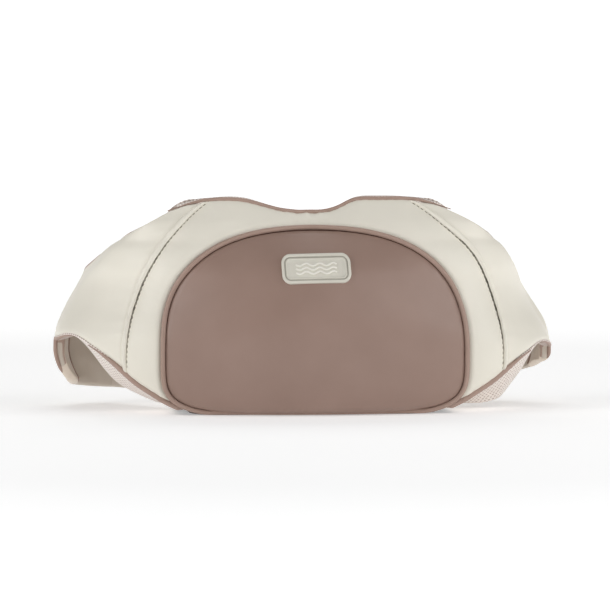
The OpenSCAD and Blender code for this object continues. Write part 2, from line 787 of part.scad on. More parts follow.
// Domed kneading node with a through bore and a recess for the axle's head
neck_h = 5.4;
barrel_h = 8;
bore_r = axle_r + run_gap;
recess_r = 5.4;
module node_profile() {
    dome_y = node_top_y - node_r;
    difference() {
        union() {
            translate([0, dome_y])
                intersection() {
                    circle(r = node_r);
                    square([node_r, node_r]);
                }
            translate([0, dome_y - barrel_h]) square([node_r, barrel_h]);
            translate([0, node_low_y]) square([node_r - 5, neck_h]);
        }
        translate([0, node_low_y - 1]) square([bore_r, 40]);
        translate([0, cap_y]) square([recess_r, 20]);
    }
}
module kneading_node(side, k) {
    p = node_spot(side, k);
    color([0.5, 0.42, 0.4])
        translate([p[0], 0, p[1]])
            rotate([-90, 0, 0])
                rotate_extrude() node_profile();
}
module left_upper_node() { kneading_node(-1, 1); }
module left_lower_node() { kneading_node(-1, -1); }
module right_upper_node() { kneading_node(1, 1); }
module right_lower_node() { kneading_node(1, -1); }

// ---- Power and wiring ----
cell_r = 9.2;
cell_l = 65;
cell_start_x = 21;
cell_z = 24.5;
cell_rows_y = [-50, -30.5];
module battery_pack() {
    color([0.25, 0.35, 0.6])
        for (y = cell_rows_y)
            translate([cell_start_x, y, cell_z])
                rotate([0, 90, 0])
                    cylinder(r = cell_r, h = cell_l);
}

board_x = -84;
board_y = -46;
board_z = 17;
board_t = 1.6;
board_w = 58;
board_h = 24;
module control_board() {
    chip_w = 12;
    capacitor_r = 3;
    capacitor_h = 7;
    color([0.1, 0.4, 0.25])
        translate([board_x, board_y, board_z])
            union() {
                cube([board_w, board_t, board_h]);
                translate([6, board_t - lift, 4]) cube([chip_w, 2.5, chip_w]);
                for (i = [0:2])
                    translate([26 + 9 * i, board_t - lift, 9])
                        rotate([-90, 0, 0]) cylinder(r = capacitor_r, h = capacitor_h);
            }
}

inlet_x = -108;
inlet_z = 26;
inlet_body = [17, 11, 12];
plug_hole = [9.2, 3.6];
plug_depth = 8;
module charge_inlet() {
    color([0.15, 0.15, 0.16])
        translate([inlet_x, back_y(inlet_x, inlet_z) + 1.5, inlet_z])
            rotate([90, 0, 0])
                difference() {
                    rounded_plate(inlet_body[0], inlet_body[1], inlet_body[2], 4.5);
                    translate([0, 0, -1]) rounded_plate(plug_hole[0], plug_hole[1], plug_depth + 1, 1.75);
                }
}

// Leads from the board to the motor, the cells, the charging inlet and the control pod
wire_r = 1.1;
WIRES = [
    [[-30, -43.1, 34], [-24, -40, 28], [-17.6, -37, 22]],
    [[-50, -47.4, 30], [-36, -57, 26], [0, -59, 24], [16, -57, 24], [19.2, -50, 24.5]],
    [[-80, -43.1, 36], [-80, -12, 36], [-94, -5, 31], [-106, 6, 25]],
    [[-62, -43.1, 36], [-62, -12, 36], [-40, -7, 27], [0, -6, 24], [60, -6, 24], [100, -6, 28],
        [112, -2, 52], [116, 8, 66]]];
function eased(path) = [for (i = [0:len(path) - 2], k = [0:3]) mix(path[i], path[i + 1], k / 4)];
module wiring_loom() {
    color([0.8, 0.2, 0.15])
        for (path = WIRES)
            tube(concat(eased(path), [path[len(path) - 1]]), wire_r, 6);
}

// ---- Control pod on the right loop ----
pod_x = 172;
pod_y = 81;
pod_t = 8;
pod_z = 76;
button_travel = 1.2;
button_well = 4;
button_proud = 1.5;
light_r = 1.3;
light_z = pod_z + 18.5;
light_depth = 2;
module pod_plate(w, h, t, r) {
    rotate([90, 0, 0]) translate([0, 0, -t]) rounded_plate(w, h, t, r);
}
button_spots = [for (k = [-1:1]) pod_z - 3 + k * button_pitch];
module control_pod() {
    color([0.3, 0.27, 0.26])
        difference() {
            translate([pod_x, pod_y, pod_z]) pod_plate(pod_w, pod_h, pod_t, 8);
            for (z = button_spots)
                y_rod(pod_x, z, pod_y + pod_t - button_well, pod_y + pod_t + 1, button_d / 2 + 0.3);
            y_rod(pod_x, light_z, pod_y + pod_t - light_depth, pod_y + pod_t + 1, light_r);
        }
}
module button(k) {
    color([0.85, 0.82, 0.78])
        y_rod(pod_x, button_spots[k], pod_y + pod_t - button_well + button_travel + 0.3,
            pod_y + pod_t + button_proud, button_d / 2);
}
module power_button() { button(2); }
module direction_button() { button(1); }
module heat_button() { button(0); }
module status_light() {
    color([0.6, 0.85, 0.95])
        y_rod(pod_x, light_z, pod_y + pod_t - light_depth, pod_y + pod_t + 0.4, light_r);
}

front_panel();
front_panel_piping();
front_cover();
badge();
top_piping();
mesh_cover();
base_panel();
left_side_foam();
right_side_foam();
left_wing_root();
right_wing_root();
left_hem_piping();
right_hem_piping();
left_strap_root();
right_strap_root();
left_wing_panel();
right_wing_panel();
left_wing_lining();
right_wing_lining();
left_wing_piping();
right_wing_piping();
left_loop_strap();
right_loop_strap();
left_loop_band();
right_loop_band();
zipper_tape();
zipper_slider();
front_shell();
rear_frame();
gearbox_base();
gearbox_cover();
gearbox_screws();
frame_screws();
motor();
motor_bracket();
worm_shaft();
worm();
worm_bearing();
left_worm_wheel();
right_worm_wheel();
left_head_shaft();
right_head_shaft();
head_bushes();
left_head_plate();
right_head_plate();
left_node_axles();
right_node_axles();
left_upper_node();
left_lower_node();
right_upper_node();
right_lower_node();
battery_pack();
control_board();
charge_inlet();
wiring_loom();
control_pod();
power_button();
direction_button();
heat_button();
status_light();
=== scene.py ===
"""Looks of a padded neck and shoulder massager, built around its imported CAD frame.

Shapes are worked out in millimetres in the frame's own axes (+X width, +Y massaging side, +Z up)
and written to meshes in metres.
"""
import json
import math
import bmesh
import bpy
import numpy as np
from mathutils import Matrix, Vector


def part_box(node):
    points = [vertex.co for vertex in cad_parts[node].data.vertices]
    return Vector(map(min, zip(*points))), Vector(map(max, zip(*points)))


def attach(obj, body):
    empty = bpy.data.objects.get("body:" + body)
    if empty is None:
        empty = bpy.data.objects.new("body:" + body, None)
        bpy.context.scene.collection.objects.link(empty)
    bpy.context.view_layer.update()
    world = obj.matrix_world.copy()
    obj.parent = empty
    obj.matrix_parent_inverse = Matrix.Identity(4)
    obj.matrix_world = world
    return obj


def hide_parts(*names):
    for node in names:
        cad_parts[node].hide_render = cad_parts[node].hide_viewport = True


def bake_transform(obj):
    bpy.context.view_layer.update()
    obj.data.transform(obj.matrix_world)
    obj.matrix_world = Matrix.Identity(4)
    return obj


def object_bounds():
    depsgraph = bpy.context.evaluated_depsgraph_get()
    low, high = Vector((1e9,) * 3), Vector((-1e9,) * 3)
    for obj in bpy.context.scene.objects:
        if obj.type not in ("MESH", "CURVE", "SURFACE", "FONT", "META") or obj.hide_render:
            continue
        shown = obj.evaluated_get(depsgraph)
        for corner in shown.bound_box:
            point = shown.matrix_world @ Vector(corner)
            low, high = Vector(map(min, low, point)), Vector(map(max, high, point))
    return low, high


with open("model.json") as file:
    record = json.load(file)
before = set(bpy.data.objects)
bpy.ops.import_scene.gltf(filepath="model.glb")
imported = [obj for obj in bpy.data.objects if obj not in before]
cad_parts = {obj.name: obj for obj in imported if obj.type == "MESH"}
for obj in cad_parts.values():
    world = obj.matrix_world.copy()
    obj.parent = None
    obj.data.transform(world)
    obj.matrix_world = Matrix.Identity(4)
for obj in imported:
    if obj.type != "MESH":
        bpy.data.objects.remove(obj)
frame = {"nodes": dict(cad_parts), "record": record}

MM = 0.001
WELD = 1e-6
cad_low, cad_high = [list(corner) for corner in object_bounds()]
nodes = frame["nodes"]

# ---------------------------------------------------------------- driving dimensions, from the frame
HALF_W = cad_high[0] / MM
PLAN_HALF_W = 201.0
WIDE = HALF_W / PLAN_HALF_W
EDGE_SLACK = 0.4
PANEL_HALF_W = (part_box("front_panel")[1] / MM).x + EDGE_SLACK
PANEL_MID_Z = 50.0
PANEL_RISE = 95.5
PANEL_FALL = 49.0
PANEL_TOP_POWER = 2.5
PANEL_LOW_POWER = 4.7
PIPING_R = 2.0
# Distance of each long seam from the panel's middle, over height; the right one sits a little further out
SEAM_RADIUS = {-1: [(0, 150), (35, 150), (60, 148.7), (75, 147.2), (92, 145.4), (117, 144.8), (135, 144),
                    (168, 143)],
               1: [(0, 153), (60, 152.6), (92, 151.1), (117, 150.3), (130, 149), (140, 146.5), (150, 144.2),
                   (168, 142)]}
BADGE_LOW, BADGE_HIGH = (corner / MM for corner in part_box("badge"))
WING_START_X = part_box("right_wing_panel")[0].x / MM
LOOP_BACK_Y = 80.0
# Control points of a strap's plan behind its tip, x and y: round the back, then inboard to the body
STRAP_BACK = [(184.0, LOOP_BACK_Y + 11), (WING_START_X, LOOP_BACK_Y + 1)]
STRAP_INBOARD = [STRAP_BACK[1], (141.0, LOOP_BACK_Y - 6), (126.0, LOOP_BACK_Y - 34),
                 (110.0, LOOP_BACK_Y - 54)]
STRAP_CURL = 9.0
SIDES = {"left": -1, "right": 1}
# Lowest height of each strap, and the share of the drop from the tip's hem that is left at s - 1
LOOPS = {"left": (14.0, [(0, 1), (0.015, 0.74), (0.03, 0.5), (0.06, 0.27), (0.1, 0.16), (0.16, 0.09),
                         (0.25, 0.05), (0.4, 0.01), (0.5, 0), (1, 0)]),
         "right": (21.0, [(0, 1), (0.02, 0.72), (0.045, 0.5), (0.08, 0.38), (0.13, 0.28), (0.21, 0.19),
                          (0.33, 0.07), (0.5, 0), (1, 0)])}
TOP_LEAN = 2.2
ROLL_H = 13.0

# Lines of the padded shape: knots of height or x, and the value there
FRONT_LINE = [(0, -68), (3, -73.5), (8, -79.5), (20, -84.5), (50, -87), (80, -84), (110, -72), (125, -61),
              (140, -45), (150, -33), (160, -22), (175, -10)]
HALF_WIDTH = [(0, PLAN_HALF_W), (53, PLAN_HALF_W), (64, 198.8), (79, 190.8), (94, 182.4), (106, 175),
              (118, 167), (130, 157.5), (136, 149.5), (145, 139), (151, 131), (158, 121), (165, 112),
              (175, 104)]
REACH_BACK = [(0, 128), (56, 131), (70, 137), (85, 142), (101, 130), (118, 95), (134, 60),
              (149, 20), (158, 10), (175, 0)]
TOP_EDGE = [(0, 158.3), (10, 158.5), (22, 160.8), (36, 165.7), (50, 168), (70, 168.8), (85, 168),
            (98, 165.8), (110, 162.8), (121, 158.5), (130, 152), (139, 145), (149, 136.5)]
HEM_EDGE = [(0, 1.8), (84, 1.9), (95, 3), (104, 5), (118, 11), (128, 17), (143, 27), (157, 39.5), (168, 48),
            (177, 54), (182.5, 57.6), (188, 59.8), (194, 60), (198, 58), (201, 55)]
BACK_LINE = [(0, 17), (10, 24), (40, 27.5), (80, 29), (115, 27.5), (135, 21), (150, 12), (163, 0), (180, -14)]
BACK_SIDE = [(0, 0), (90, 0), (106, -4), (118, -11), (132, -22), (150, -31)]
# Top edge of a wing, height at s: up the near wall, over the tip at 1, and along the strap to 2
WING_TOP = [(0, 158.3), (0.1, 159.5), (0.2, 164), (0.3, 168), (0.4, 168.8), (0.5, 168.4), (0.6, 167.2),
            (0.71, 165.2), (0.83, 160), (0.92, 153.6), (1, 145), (1.04, 131), (1.1, 119), (1.18, 112),
            (1.3, 108), (1.5, 106), (2, 105)]


# ---------------------------------------------------------------- curves
def smooth(knots, t):
    """Smooth curve through the knots, held level past both ends."""
    k = np.asarray(knots, float)
    t = np.clip(np.asarray(t, float), k[0, 0], k[-1, 0])
    i = np.clip(np.searchsorted(k[:, 0], t, side="right") - 1, 0, len(k) - 2)
    before = np.maximum(np.arange(len(k)) - 1, 0)
    after = np.minimum(np.arange(len(k)) + 1, len(k) - 1)
    slope = (k[after, 1] - k[before, 1]) / (k[after, 0] - k[before, 0])
    h = k[i + 1, 0] - k[i, 0]
    s = (t - k[i, 0]) / h
    rise = s * s * (3 - 2 * s)
    bend = slope[i] * s * (1 - s) ** 2 - slope[i + 1] * s * s * (1 - s)
    return k[i, 1] * (1 - rise) + k[i + 1, 1] * rise + h * bend


def mix(a, b, t):
    """Value t of the way from a to b."""
    return a * (1 - t) + b * t


def step(low, high, t):
    """Smooth rise from 0 at low to 1 at high."""
    s = np.clip((t - low) / (high - low), 0, 1)
    return s * s * (3 - 2 * s)


def bump(centre, width, t):
    """Smooth hill of height 1."""
    return np.exp(-(((t - centre) / width) ** 2))


def bezier(p0, p1, p2, p3, t):
    t = np.asarray(t)[..., None]
    return p0 * (1 - t) ** 3 + 3 * p1 * t * (1 - t) ** 2 + 3 * p2 * t * t * (1 - t) + p3 * t ** 3


def points(x, y, z):
    return np.stack(np.broadcast_arrays(x, y, z), axis=-1).astype(float)


def unit(v):
    return v / np.maximum(np.linalg.norm(v, axis=-1, keepdims=True), 1e-9)


# ---------------------------------------------------------------- the padded body's surfaces
def half_at(z):
    """Half of the body's width at a height."""
    return WIDE * smooth(HALF_WIDTH, z)


def top_z(x):
    """Height of the front cover's top edge."""
    lean = TOP_LEAN * (bump(36, 14, x) - bump(-36, 14, x))
    return smooth(TOP_EDGE, np.abs(x) / WIDE) + lean


def hem_z(x):
    """Height of the front cover's lower edge."""
    return smooth(HEM_EDGE, np.abs(x) / WIDE)


def dip(x, z):
    """How far the neck hollow at the top draws the front back."""
    return 15 * bump(0, 24, x) * np.clip((z - 122) / 41, 0, None) ** 1.4


def front_y(x, z):
    """Depth of the front."""
    share = np.clip(np.abs(x) / half_at(z), 0, 1)
    return smooth(FRONT_LINE, z) + dip(x, z) + smooth(REACH_BACK, z) * (1 - np.sqrt(1 - share ** 2))


def back_y(x, z):
    """Depth of the knit back."""
    lift = 9 * bump(62, 34, np.abs(x)) * np.clip((z - 130) / 30, 0, 1)
    return smooth(BACK_LINE, z) + smooth(BACK_SIDE, np.abs(x) / WIDE) + lift


def front_point(x, z):
    return points(x, front_y(x, z), z)


def front_normal(x, z):
    e = 0.5
    across = front_point(x + e, z) - front_point(x - e, z)
    up = front_point(x, z + e) - front_point(x, z - e)
    return unit(np.cross(across, up))


def panel_edge(t, grow=0.0):
    """x and z of the panel's edge, t degrees round from its widest line, moved out by grow."""
    a = np.radians(t)
    high = np.sin(a) >= 0
    power = np.where(high, PANEL_TOP_POWER, PANEL_LOW_POWER)
    reach = np.where(high, PANEL_RISE, PANEL_FALL)
    total = (np.abs(np.cos(a)) / PANEL_HALF_W) ** power + (np.abs(np.sin(a)) / reach) ** power
    r = total ** (-1 / power) + grow
    return r * np.cos(a), PANEL_MID_Z + r * np.sin(a)


def wing_point(s, z):
    """Outer surface of the wing: s runs 0..1 from the middle to the tip, and 1..2 back along the strap."""
    near = np.clip(s, 0, 1)
    share = np.sin(near * math.pi / 2)
    x = half_at(z) * share
    near_y = smooth(FRONT_LINE, z) + dip(x, z) + smooth(REACH_BACK, z) * (1 - np.cos(near * math.pi / 2))
    t = np.clip(s - 1, 0, 1)
    tip_x, tip_y = half_at(z), smooth(FRONT_LINE, z) + smooth(REACH_BACK, z)
    back = bezier(points(tip_x, tip_y, z), points(tip_x, mix(tip_y, LOOP_BACK_Y, 0.7), z),
                  *(points(px, py, z) for px, py in STRAP_BACK), np.clip(t * 2, 0, 1))
    inboard = bezier(*(points(px, py, z) for px, py in STRAP_INBOARD), np.clip(t * 2 - 1, 0, 1))
    far = np.where((t * 2 <= 1)[..., None], back, inboard)
    curl = STRAP_CURL * np.clip((46 - z) / 24, 0, 1) ** 1.6 * bump(1.12, 0.3, s)
    far[..., 0] -= curl
    return np.where((s <= 1)[..., None], points(x, near_y, z), far)


def wing_normal(s, z):
    ds, dz = 0.004, 0.4
    along = wing_point(s + ds, z) - wing_point(s - ds, z)
    up = wing_point(s, z + dz) - wing_point(s, z - dz)
    return unit(np.cross(along, up))


def near_s(x, z):
    """The s at which the near wall is at x."""
    return np.arcsin(np.clip(x / half_at(z), 0, 0.995)) * 2 / math.pi


def seam_radius(z, side):
    """Distance of a long seam from the panel's middle."""
    return np.where(side < 0, smooth(SEAM_RADIUS[-1], z), smooth(SEAM_RADIUS[1], z))


def seam_line(side):
    """Curve that gives a long seam's distance from the middle plane at a height."""
    def reach(z):
        return np.sqrt(np.clip(seam_radius(z, side) ** 2 - (z - PANEL_MID_Z) ** 2, 0, None))
    return reach


SEAMS = {side_name: seam_line(side) for side_name, side in SIDES.items()}


def wing_s(u, z, start_x):
    """u runs 0..1 from the line start_x to the tip, and 1..2 along the strap."""
    first = near_s(start_x(z), z)
    return np.where(u <= 1, mix(first, 1.0, np.clip(u, 0, 1)), u)


def low_at(s, loop):
    """Height of a wing's lower edge at s, for the strap's lowest height and drop in loop."""
    lowest, drop = loop
    near = hem_z(HALF_W * np.sin(np.clip(s, 0, 1) * math.pi / 2))
    strap = lowest + smooth(drop, s - 1) * (HEM_EDGE[-1][1] - lowest)
    return np.where(s <= 1, near, strap)


def high_at(s):
    """Height of a wing's upper edge at s."""
    return smooth(WING_TOP, s)


def wing_limits(u, start_x, loop):
    """Lowest and highest height of the wing's outer surface at each u."""
    low = np.full_like(u, 40.0)
    high = np.full_like(u, 160.0)
    for _ in range(60):
        low = mix(low, low_at(wing_s(u, low, start_x), loop), 0.5)
        high = mix(high, high_at(wing_s(u, high, start_x)), 0.5)
    return low, high


# ---------------------------------------------------------------- meshes
def new_object(name, verts, faces, material):
    """Smooth-shaded mesh from points in millimetres."""
    mesh = bpy.data.meshes.new(name)
    mesh.from_pydata([tuple(v) for v in np.asarray(verts, float) * MM], [], faces)
    mesh.update()
    obj = bpy.data.objects.new(name, mesh)
    bpy.context.collection.objects.link(obj)
    mesh.polygons.foreach_set("use_smooth", [True] * len(mesh.polygons))
    mesh.materials.append(material)
    return obj


def grid_object(name, grid, material, flip=False, wrap=False):
    """Mesh of a grid of points, columns first, with a UV map that holds its lengths in metres."""
    m, n = grid.shape[:2]
    across = np.zeros((m, n))
    along = np.zeros((m, n))
    across[1:] = np.cumsum(np.linalg.norm(np.diff(grid, axis=0), axis=2), axis=0)
    along[:, 1:] = np.cumsum(np.linalg.norm(np.diff(grid, axis=1), axis=2), axis=1)
    across[:] = across.mean(axis=1, keepdims=True)
    along[:] = along.mean(axis=0, keepdims=True)
    faces, loops = [], []
    for i in range(m if wrap else m - 1):
        for j in range(n - 1):
            corner = [(i, j), ((i + 1) % m, j), ((i + 1) % m, j + 1), (i, j + 1)]
            if flip:
                corner.reverse()
            faces.append([a * n + b for a, b in corner])
            loops += [(across[a, b] * MM, along[a, b] * MM) for a, b in corner]
    obj = new_object(name, grid.reshape(-1, 3), faces, material)
    uv = obj.data.uv_layers.new(name="lengths")
    uv.data.foreach_set("uv", np.asarray(loops, float).ravel())
    if wrap:
        joined = bmesh.new()
        joined.from_mesh(obj.data)
        bmesh.ops.remove_doubles(joined, verts=joined.verts, dist=WELD)
        joined.to_mesh(obj.data)
        joined.free()
    return obj


def shell(obj, thickness, levels=1):
    """Gives a surface real thickness, inwards, and smooths it."""
    solid = obj.modifiers.new("thickness", "SOLIDIFY")
    solid.thickness = thickness * MM
    solid.offset = -1
    if levels:
        rounding = obj.modifiers.new("rounding", "SUBSURF")
        rounding.levels = rounding.render_levels = levels
    return obj


def drooped(grid):
    """The right wing hangs a little lower at its hem than the left one."""
    x, y, z = grid[..., 0], grid[..., 1], grid[..., 2]
    amount = 2 * step(105, 130, x) + 6 * step(130, 200, x)
    held = (1 - step(40, 56, y)) * step(8, 40, z) * (1 - step(62, 130, z))
    moved = grid.copy()
    moved[..., 2] -= amount * held
    moved[..., 0] -= 3.0 * bump(92, 17, z) * step(150, 185, x)
    return moved


def mirrored(grid, side):
    """Grid of the right side as it hangs, or its mirror image for the left side."""
    return drooped(grid) if side > 0 else grid * np.array([-1.0, 1.0, 1.0])


def resample(path, spacing):
    """The same path with evenly spaced points."""
    path = np.asarray(path, float)
    length = np.concatenate([[0], np.cumsum(np.linalg.norm(np.diff(path, axis=0), axis=1))])
    count = max(2, int(length[-1] / spacing) + 1)
    at = np.linspace(0, length[-1], count)
    return np.stack([np.interp(at, length, path[:, k]) for k in range(3)], axis=1)


def tube_grid(path, radius, sides=14):
    """Rings of points round a path; radius is one number or one for each point."""
    path = np.asarray(path, float)
    radius = np.broadcast_to(np.asarray(radius, float), len(path))
    tangent = unit(np.gradient(path, axis=0))
    normal = np.zeros_like(path)
    seed = np.array([0.3, 1.0, 0.2])
    for i, direction in enumerate(tangent):
        seed = seed - direction * seed.dot(direction)
        seed /= np.linalg.norm(seed)
        normal[i] = seed
    binormal = np.cross(tangent, normal)
    angle = np.linspace(0, 2 * math.pi, sides, endpoint=False)
    ring = (normal[:, None] * np.cos(angle)[None, :, None]
            + binormal[:, None] * np.sin(angle)[None, :, None])
    return path[:, None] + ring * radius[:, None, None]


def tube(name, path, radius, material, sides=14, spacing=2.0, taper=(0, 0)):
    """Closed round tube along a path, with rounded ends; taper is how far each end takes to thin out."""
    path = resample(path, spacing)
    along = np.arange(len(path)) * spacing
    radii = np.full(len(path), float(radius))
    for distance, length in ((along, taper[0]), (along[::-1], taper[1])):
        if length:
            radii *= 0.2 + 0.8 * step(0, length, distance)
    lead = (path[0] - path[1]) / np.linalg.norm(path[0] - path[1])
    tail = (path[-1] - path[-2]) / np.linalg.norm(path[-1] - path[-2])
    path = np.concatenate([[path[0] + lead * radii[0] * 0.5], path, [path[-1] + tail * radii[-1] * 0.5]])
    radii = np.concatenate([[radii[0] * 0.6], radii, [radii[-1] * 0.6]])
    rings = tube_grid(path, radii, sides)
    m, n = rings.shape[:2]
    faces = [[i * n + j, i * n + (j + 1) % n, (i + 1) * n + (j + 1) % n, (i + 1) * n + j]
             for i in range(m - 1) for j in range(n)]
    faces += [list(range(n))[::-1], [(m - 1) * n + j for j in range(n)]]
    return new_object(name, rings.reshape(-1, 3), faces, material)


def capsules(name, places, directions, length, radius, material, sides=8):
    """One mesh of many short round-ended threads, such as a row of stitches."""
    profile = [(-0.5, 0.25), (-0.42, 0.75), (-0.2, 1.0), (0.2, 1.0), (0.42, 0.75), (0.5, 0.25)]
    verts, faces = [], []
    angle = np.linspace(0, 2 * math.pi, sides, endpoint=False)
    for place, direction in zip(places, unit(np.asarray(directions))):
        a = unit(np.cross(direction, [0.2, 0.9, 0.4]))
        b = np.cross(direction, a)
        base = len(verts)
        for shift, size in profile:
            centre = place + direction * shift * length
            verts += [centre + radius * size * (math.cos(t) * a + math.sin(t) * b) for t in angle]
        for i in range(len(profile) - 1):
            for j in range(sides):
                k = (j + 1) % sides
                faces.append([base + i * sides + j, base + (i + 1) * sides + j,
                              base + (i + 1) * sides + k, base + i * sides + k])
        faces.append([base + j for j in range(sides)])
        last = base + (len(profile) - 1) * sides
        faces.append([last + j for j in reversed(range(sides))])
    return new_object(name, verts, faces, material)


def rounded_outline(w, h, r, corner=10):
    """Points round a rounded rectangle, as x and z pairs."""
    out = []
    for cx, cz, start in ((w / 2 - r, h / 2 - r, 0), (-w / 2 + r, h / 2 - r, 90),
                          (-w / 2 + r, -h / 2 + r, 180), (w / 2 - r, -h / 2 + r, 270)):
        for k in range(corner + 1):
            a = math.radians(start + 90 * k / corner)
            out.append((cx + r * math.cos(a), cz + r * math.sin(a)))
    return np.array(out)


# ---------------------------------------------------------------- materials
def linear(r, g, b):
    """Linear colour of an 8-bit shade."""
    return [((c / 255 + 0.055) / 1.055) ** 2.4 if c > 10 else c / 255 / 12.92 for c in (r, g, b)] + [1.0]


class Look:
    """A node material with a few short calls for what every finish here needs."""

    def __init__(self, name, roughness=0.5, specular=0.5, metallic=0.0):
        self.material = bpy.data.materials.new(name)
        self.material.use_nodes = True
        self.tree = self.material.node_tree
        self.shader = self.tree.nodes["Principled BSDF"]
        self.shader.inputs["Roughness"].default_value = roughness
        self.shader.inputs["Specular IOR Level"].default_value = specular
        self.shader.inputs["Metallic"].default_value = metallic
        self.where = self.node("ShaderNodeTexCoord").outputs["Object"]
        self.lengths = self.node("ShaderNodeTexCoord").outputs["UV"]
        self.height = None

    def node(self, kind, **settings):
        made = self.tree.nodes.new(kind)
        for key, value in settings.items():
            setattr(made, key, value)
        return made

    def link(self, a, b):
        self.tree.links.new(a, b)

    def noise(self, scale, detail=4.0, roughness=0.5, where=None):
        made = self.node("ShaderNodeTexNoise")
        made.inputs["Scale"].default_value = scale
        made.inputs["Detail"].default_value = detail
        made.inputs["Roughness"].default_value = roughness
        self.link(where or self.where, made.inputs["Vector"])
        return made.outputs["Fac"]

    def cells(self, scale, feature="F1", randomness=1.0, where=None):
        made = self.node("ShaderNodeTexVoronoi", feature=feature)
        made.inputs["Scale"].default_value = scale
        made.inputs["Randomness"].default_value = randomness
        self.link(where or self.where, made.inputs["Vector"])
        return made.outputs["Distance"]

    def maths(self, operation, a, b=0.0):
        made = self.node("ShaderNodeMath", operation=operation)
        for socket, value in zip(made.inputs, (a, b)):
            if isinstance(value, (int, float)):
                socket.default_value = value
            else:
                self.link(value, socket)
        return made.outputs[0]

    def ramp(self, value, low, high, to_low=0.0, to_high=1.0):
        made = self.node("ShaderNodeMapRange")
        made.inputs["From Min"].default_value = low
        made.inputs["From Max"].default_value = high
        made.inputs["To Min"].default_value = to_low
        made.inputs["To Max"].default_value = to_high
        self.link(value, made.inputs["Value"])
        return made.outputs["Result"]

    def colours(self, value, stops):
        made = self.node("ShaderNodeValToRGB")
        elements = made.color_ramp.elements
        while len(elements) < len(stops):
            elements.new(0.5)
        for element, (place, colour) in zip(elements, stops):
            element.position = place
            element.color = colour
        self.link(value, made.inputs["Fac"])
        return made.outputs["Color"]

    def paint(self, value, stops):
        self.link(self.colours(value, stops), self.shader.inputs["Base Color"])

    def rough(self, value, low, high):
        self.link(self.ramp(value, 0.25, 0.75, low, high), self.shader.inputs["Roughness"])

    def relief(self, value, distance, strength=1.0):
        """Adds a layer of bump, distance in millimetres."""
        made = self.node("ShaderNodeBump")
        made.inputs["Strength"].default_value = strength
        made.inputs["Distance"].default_value = distance * MM
        self.link(value, made.inputs["Height"])
        if self.height:
            self.link(self.height, made.inputs["Normal"])
        self.height = made.outputs["Normal"]
        self.link(self.height, self.shader.inputs["Normal"])

    def sheen(self, weight, roughness=0.4):
        self.shader.inputs["Sheen Weight"].default_value = weight
        self.shader.inputs["Sheen Roughness"].default_value = roughness


def shades(r, g, b, spread):
    """Two close shades of one colour, for a ramp."""
    dark = [max(0, c - spread) for c in (r, g, b)]
    light = [min(255, c + spread) for c in (r, g, b)]
    return [(0.3, linear(*dark)), (0.7, linear(*light))]


def leather(name, rgb, grain=1.0, roughness=(0.46, 0.58), spread=4):
    look = Look(name)
    cloud = look.noise(24, 3)
    look.paint(cloud, shades(*rgb, spread))
    look.rough(look.noise(60, 5), *roughness)
    pebbles = look.cells(900, "SMOOTH_F1")
    creases = look.noise(420, 6, 0.6)
    look.relief(creases, 0.10 * grain, 0.35)
    look.relief(pebbles, 0.12 * grain, 0.35)
    look.relief(look.noise(45, 2), 0.6, 0.16)
    look.shader.inputs["Coat Weight"].default_value = 0.06
    look.shader.inputs["Coat Roughness"].default_value = 0.45
    return look.material


def knit_mesh(name, light, dark):
    """Open knit: rows of small round holes between soft ribs, set out by the piece's own lengths."""
    look = Look(name, roughness=0.85, specular=0.2)
    holes = look.cells(420, "F1", 0.12, look.lengths)
    fuzz = look.noise(1500, 4, 0.6)
    mixed = look.maths("ADD", look.ramp(holes, 0.12, 0.45), look.ramp(fuzz, 0.3, 0.7, -0.12, 0.12))
    look.paint(mixed, [(0.12, linear(*dark)), (0.6, linear(*light))])
    look.relief(fuzz, 0.2, 0.5)
    look.relief(look.ramp(holes, 0.1, 0.5), 0.6, 0.8)
    look.sheen(0.35)
    return look.material


def cloth(name, rgb, threads=1100, spread=7, depth=0.25):
    """Plain woven cloth: two sets of threads at right angles."""
    look = Look(name, roughness=0.88, specular=0.2)
    split = look.node("ShaderNodeSeparateXYZ")
    look.link(look.lengths, split.inputs[0])
    weft = look.maths("SINE", look.maths("MULTIPLY", split.outputs[0], threads * math.pi * 2))
    warp = look.maths("SINE", look.maths("MULTIPLY", split.outputs[1], threads * math.pi * 2))
    weave = look.ramp(look.maths("MULTIPLY", weft, warp), -1, 1)
    cloud = look.noise(55, 4)
    tone = look.maths("ADD", look.maths("MULTIPLY", weave, 0.45), look.maths("MULTIPLY", cloud, 0.55))
    look.paint(tone, shades(*rgb, spread))
    look.relief(weave, depth, 0.6)
    look.relief(look.noise(1300, 3), 0.15, 0.4)
    look.sheen(0.3)
    return look.material


def suede(name, rgb):
    """Short mottled nap."""
    look = Look(name, roughness=0.93, specular=0.12)
    nap = look.noise(900, 6, 0.7)
    cloud = look.noise(90, 3)
    tone = look.maths("ADD", look.maths("MULTIPLY", nap, 0.5), look.maths("MULTIPLY", cloud, 0.5))
    look.paint(tone, shades(*rgb, 10))
    look.relief(nap, 0.25, 0.6)
    look.sheen(0.6, 0.5)
    return look.material


def moulded(name, rgb, roughness=(0.42, 0.55), depth=0.06, spread=3):
    """Moulded plastic or rubber with a fine spark-eroded texture."""
    look = Look(name)
    look.paint(look.noise(40, 3), shades(*rgb, spread))
    look.rough(look.noise(130, 4), *roughness)
    look.relief(look.noise(1600, 3), depth, 0.5)
    return look.material


def metal(name, rgb, roughness=(0.22, 0.36)):
    """Metal with fine brushed lines."""
    look = Look(name, metallic=1.0)
    stretch = look.node("ShaderNodeMapping")
    stretch.inputs["Scale"].default_value = (1.0, 14.0, 14.0)
    look.link(look.where, stretch.inputs["Vector"])
    lines = look.noise(180, 5, 0.6, stretch.outputs[0])
    look.paint(lines, shades(*rgb, 9))
    look.rough(lines, *roughness)
    look.relief(lines, 0.03, 0.4)
    return look.material


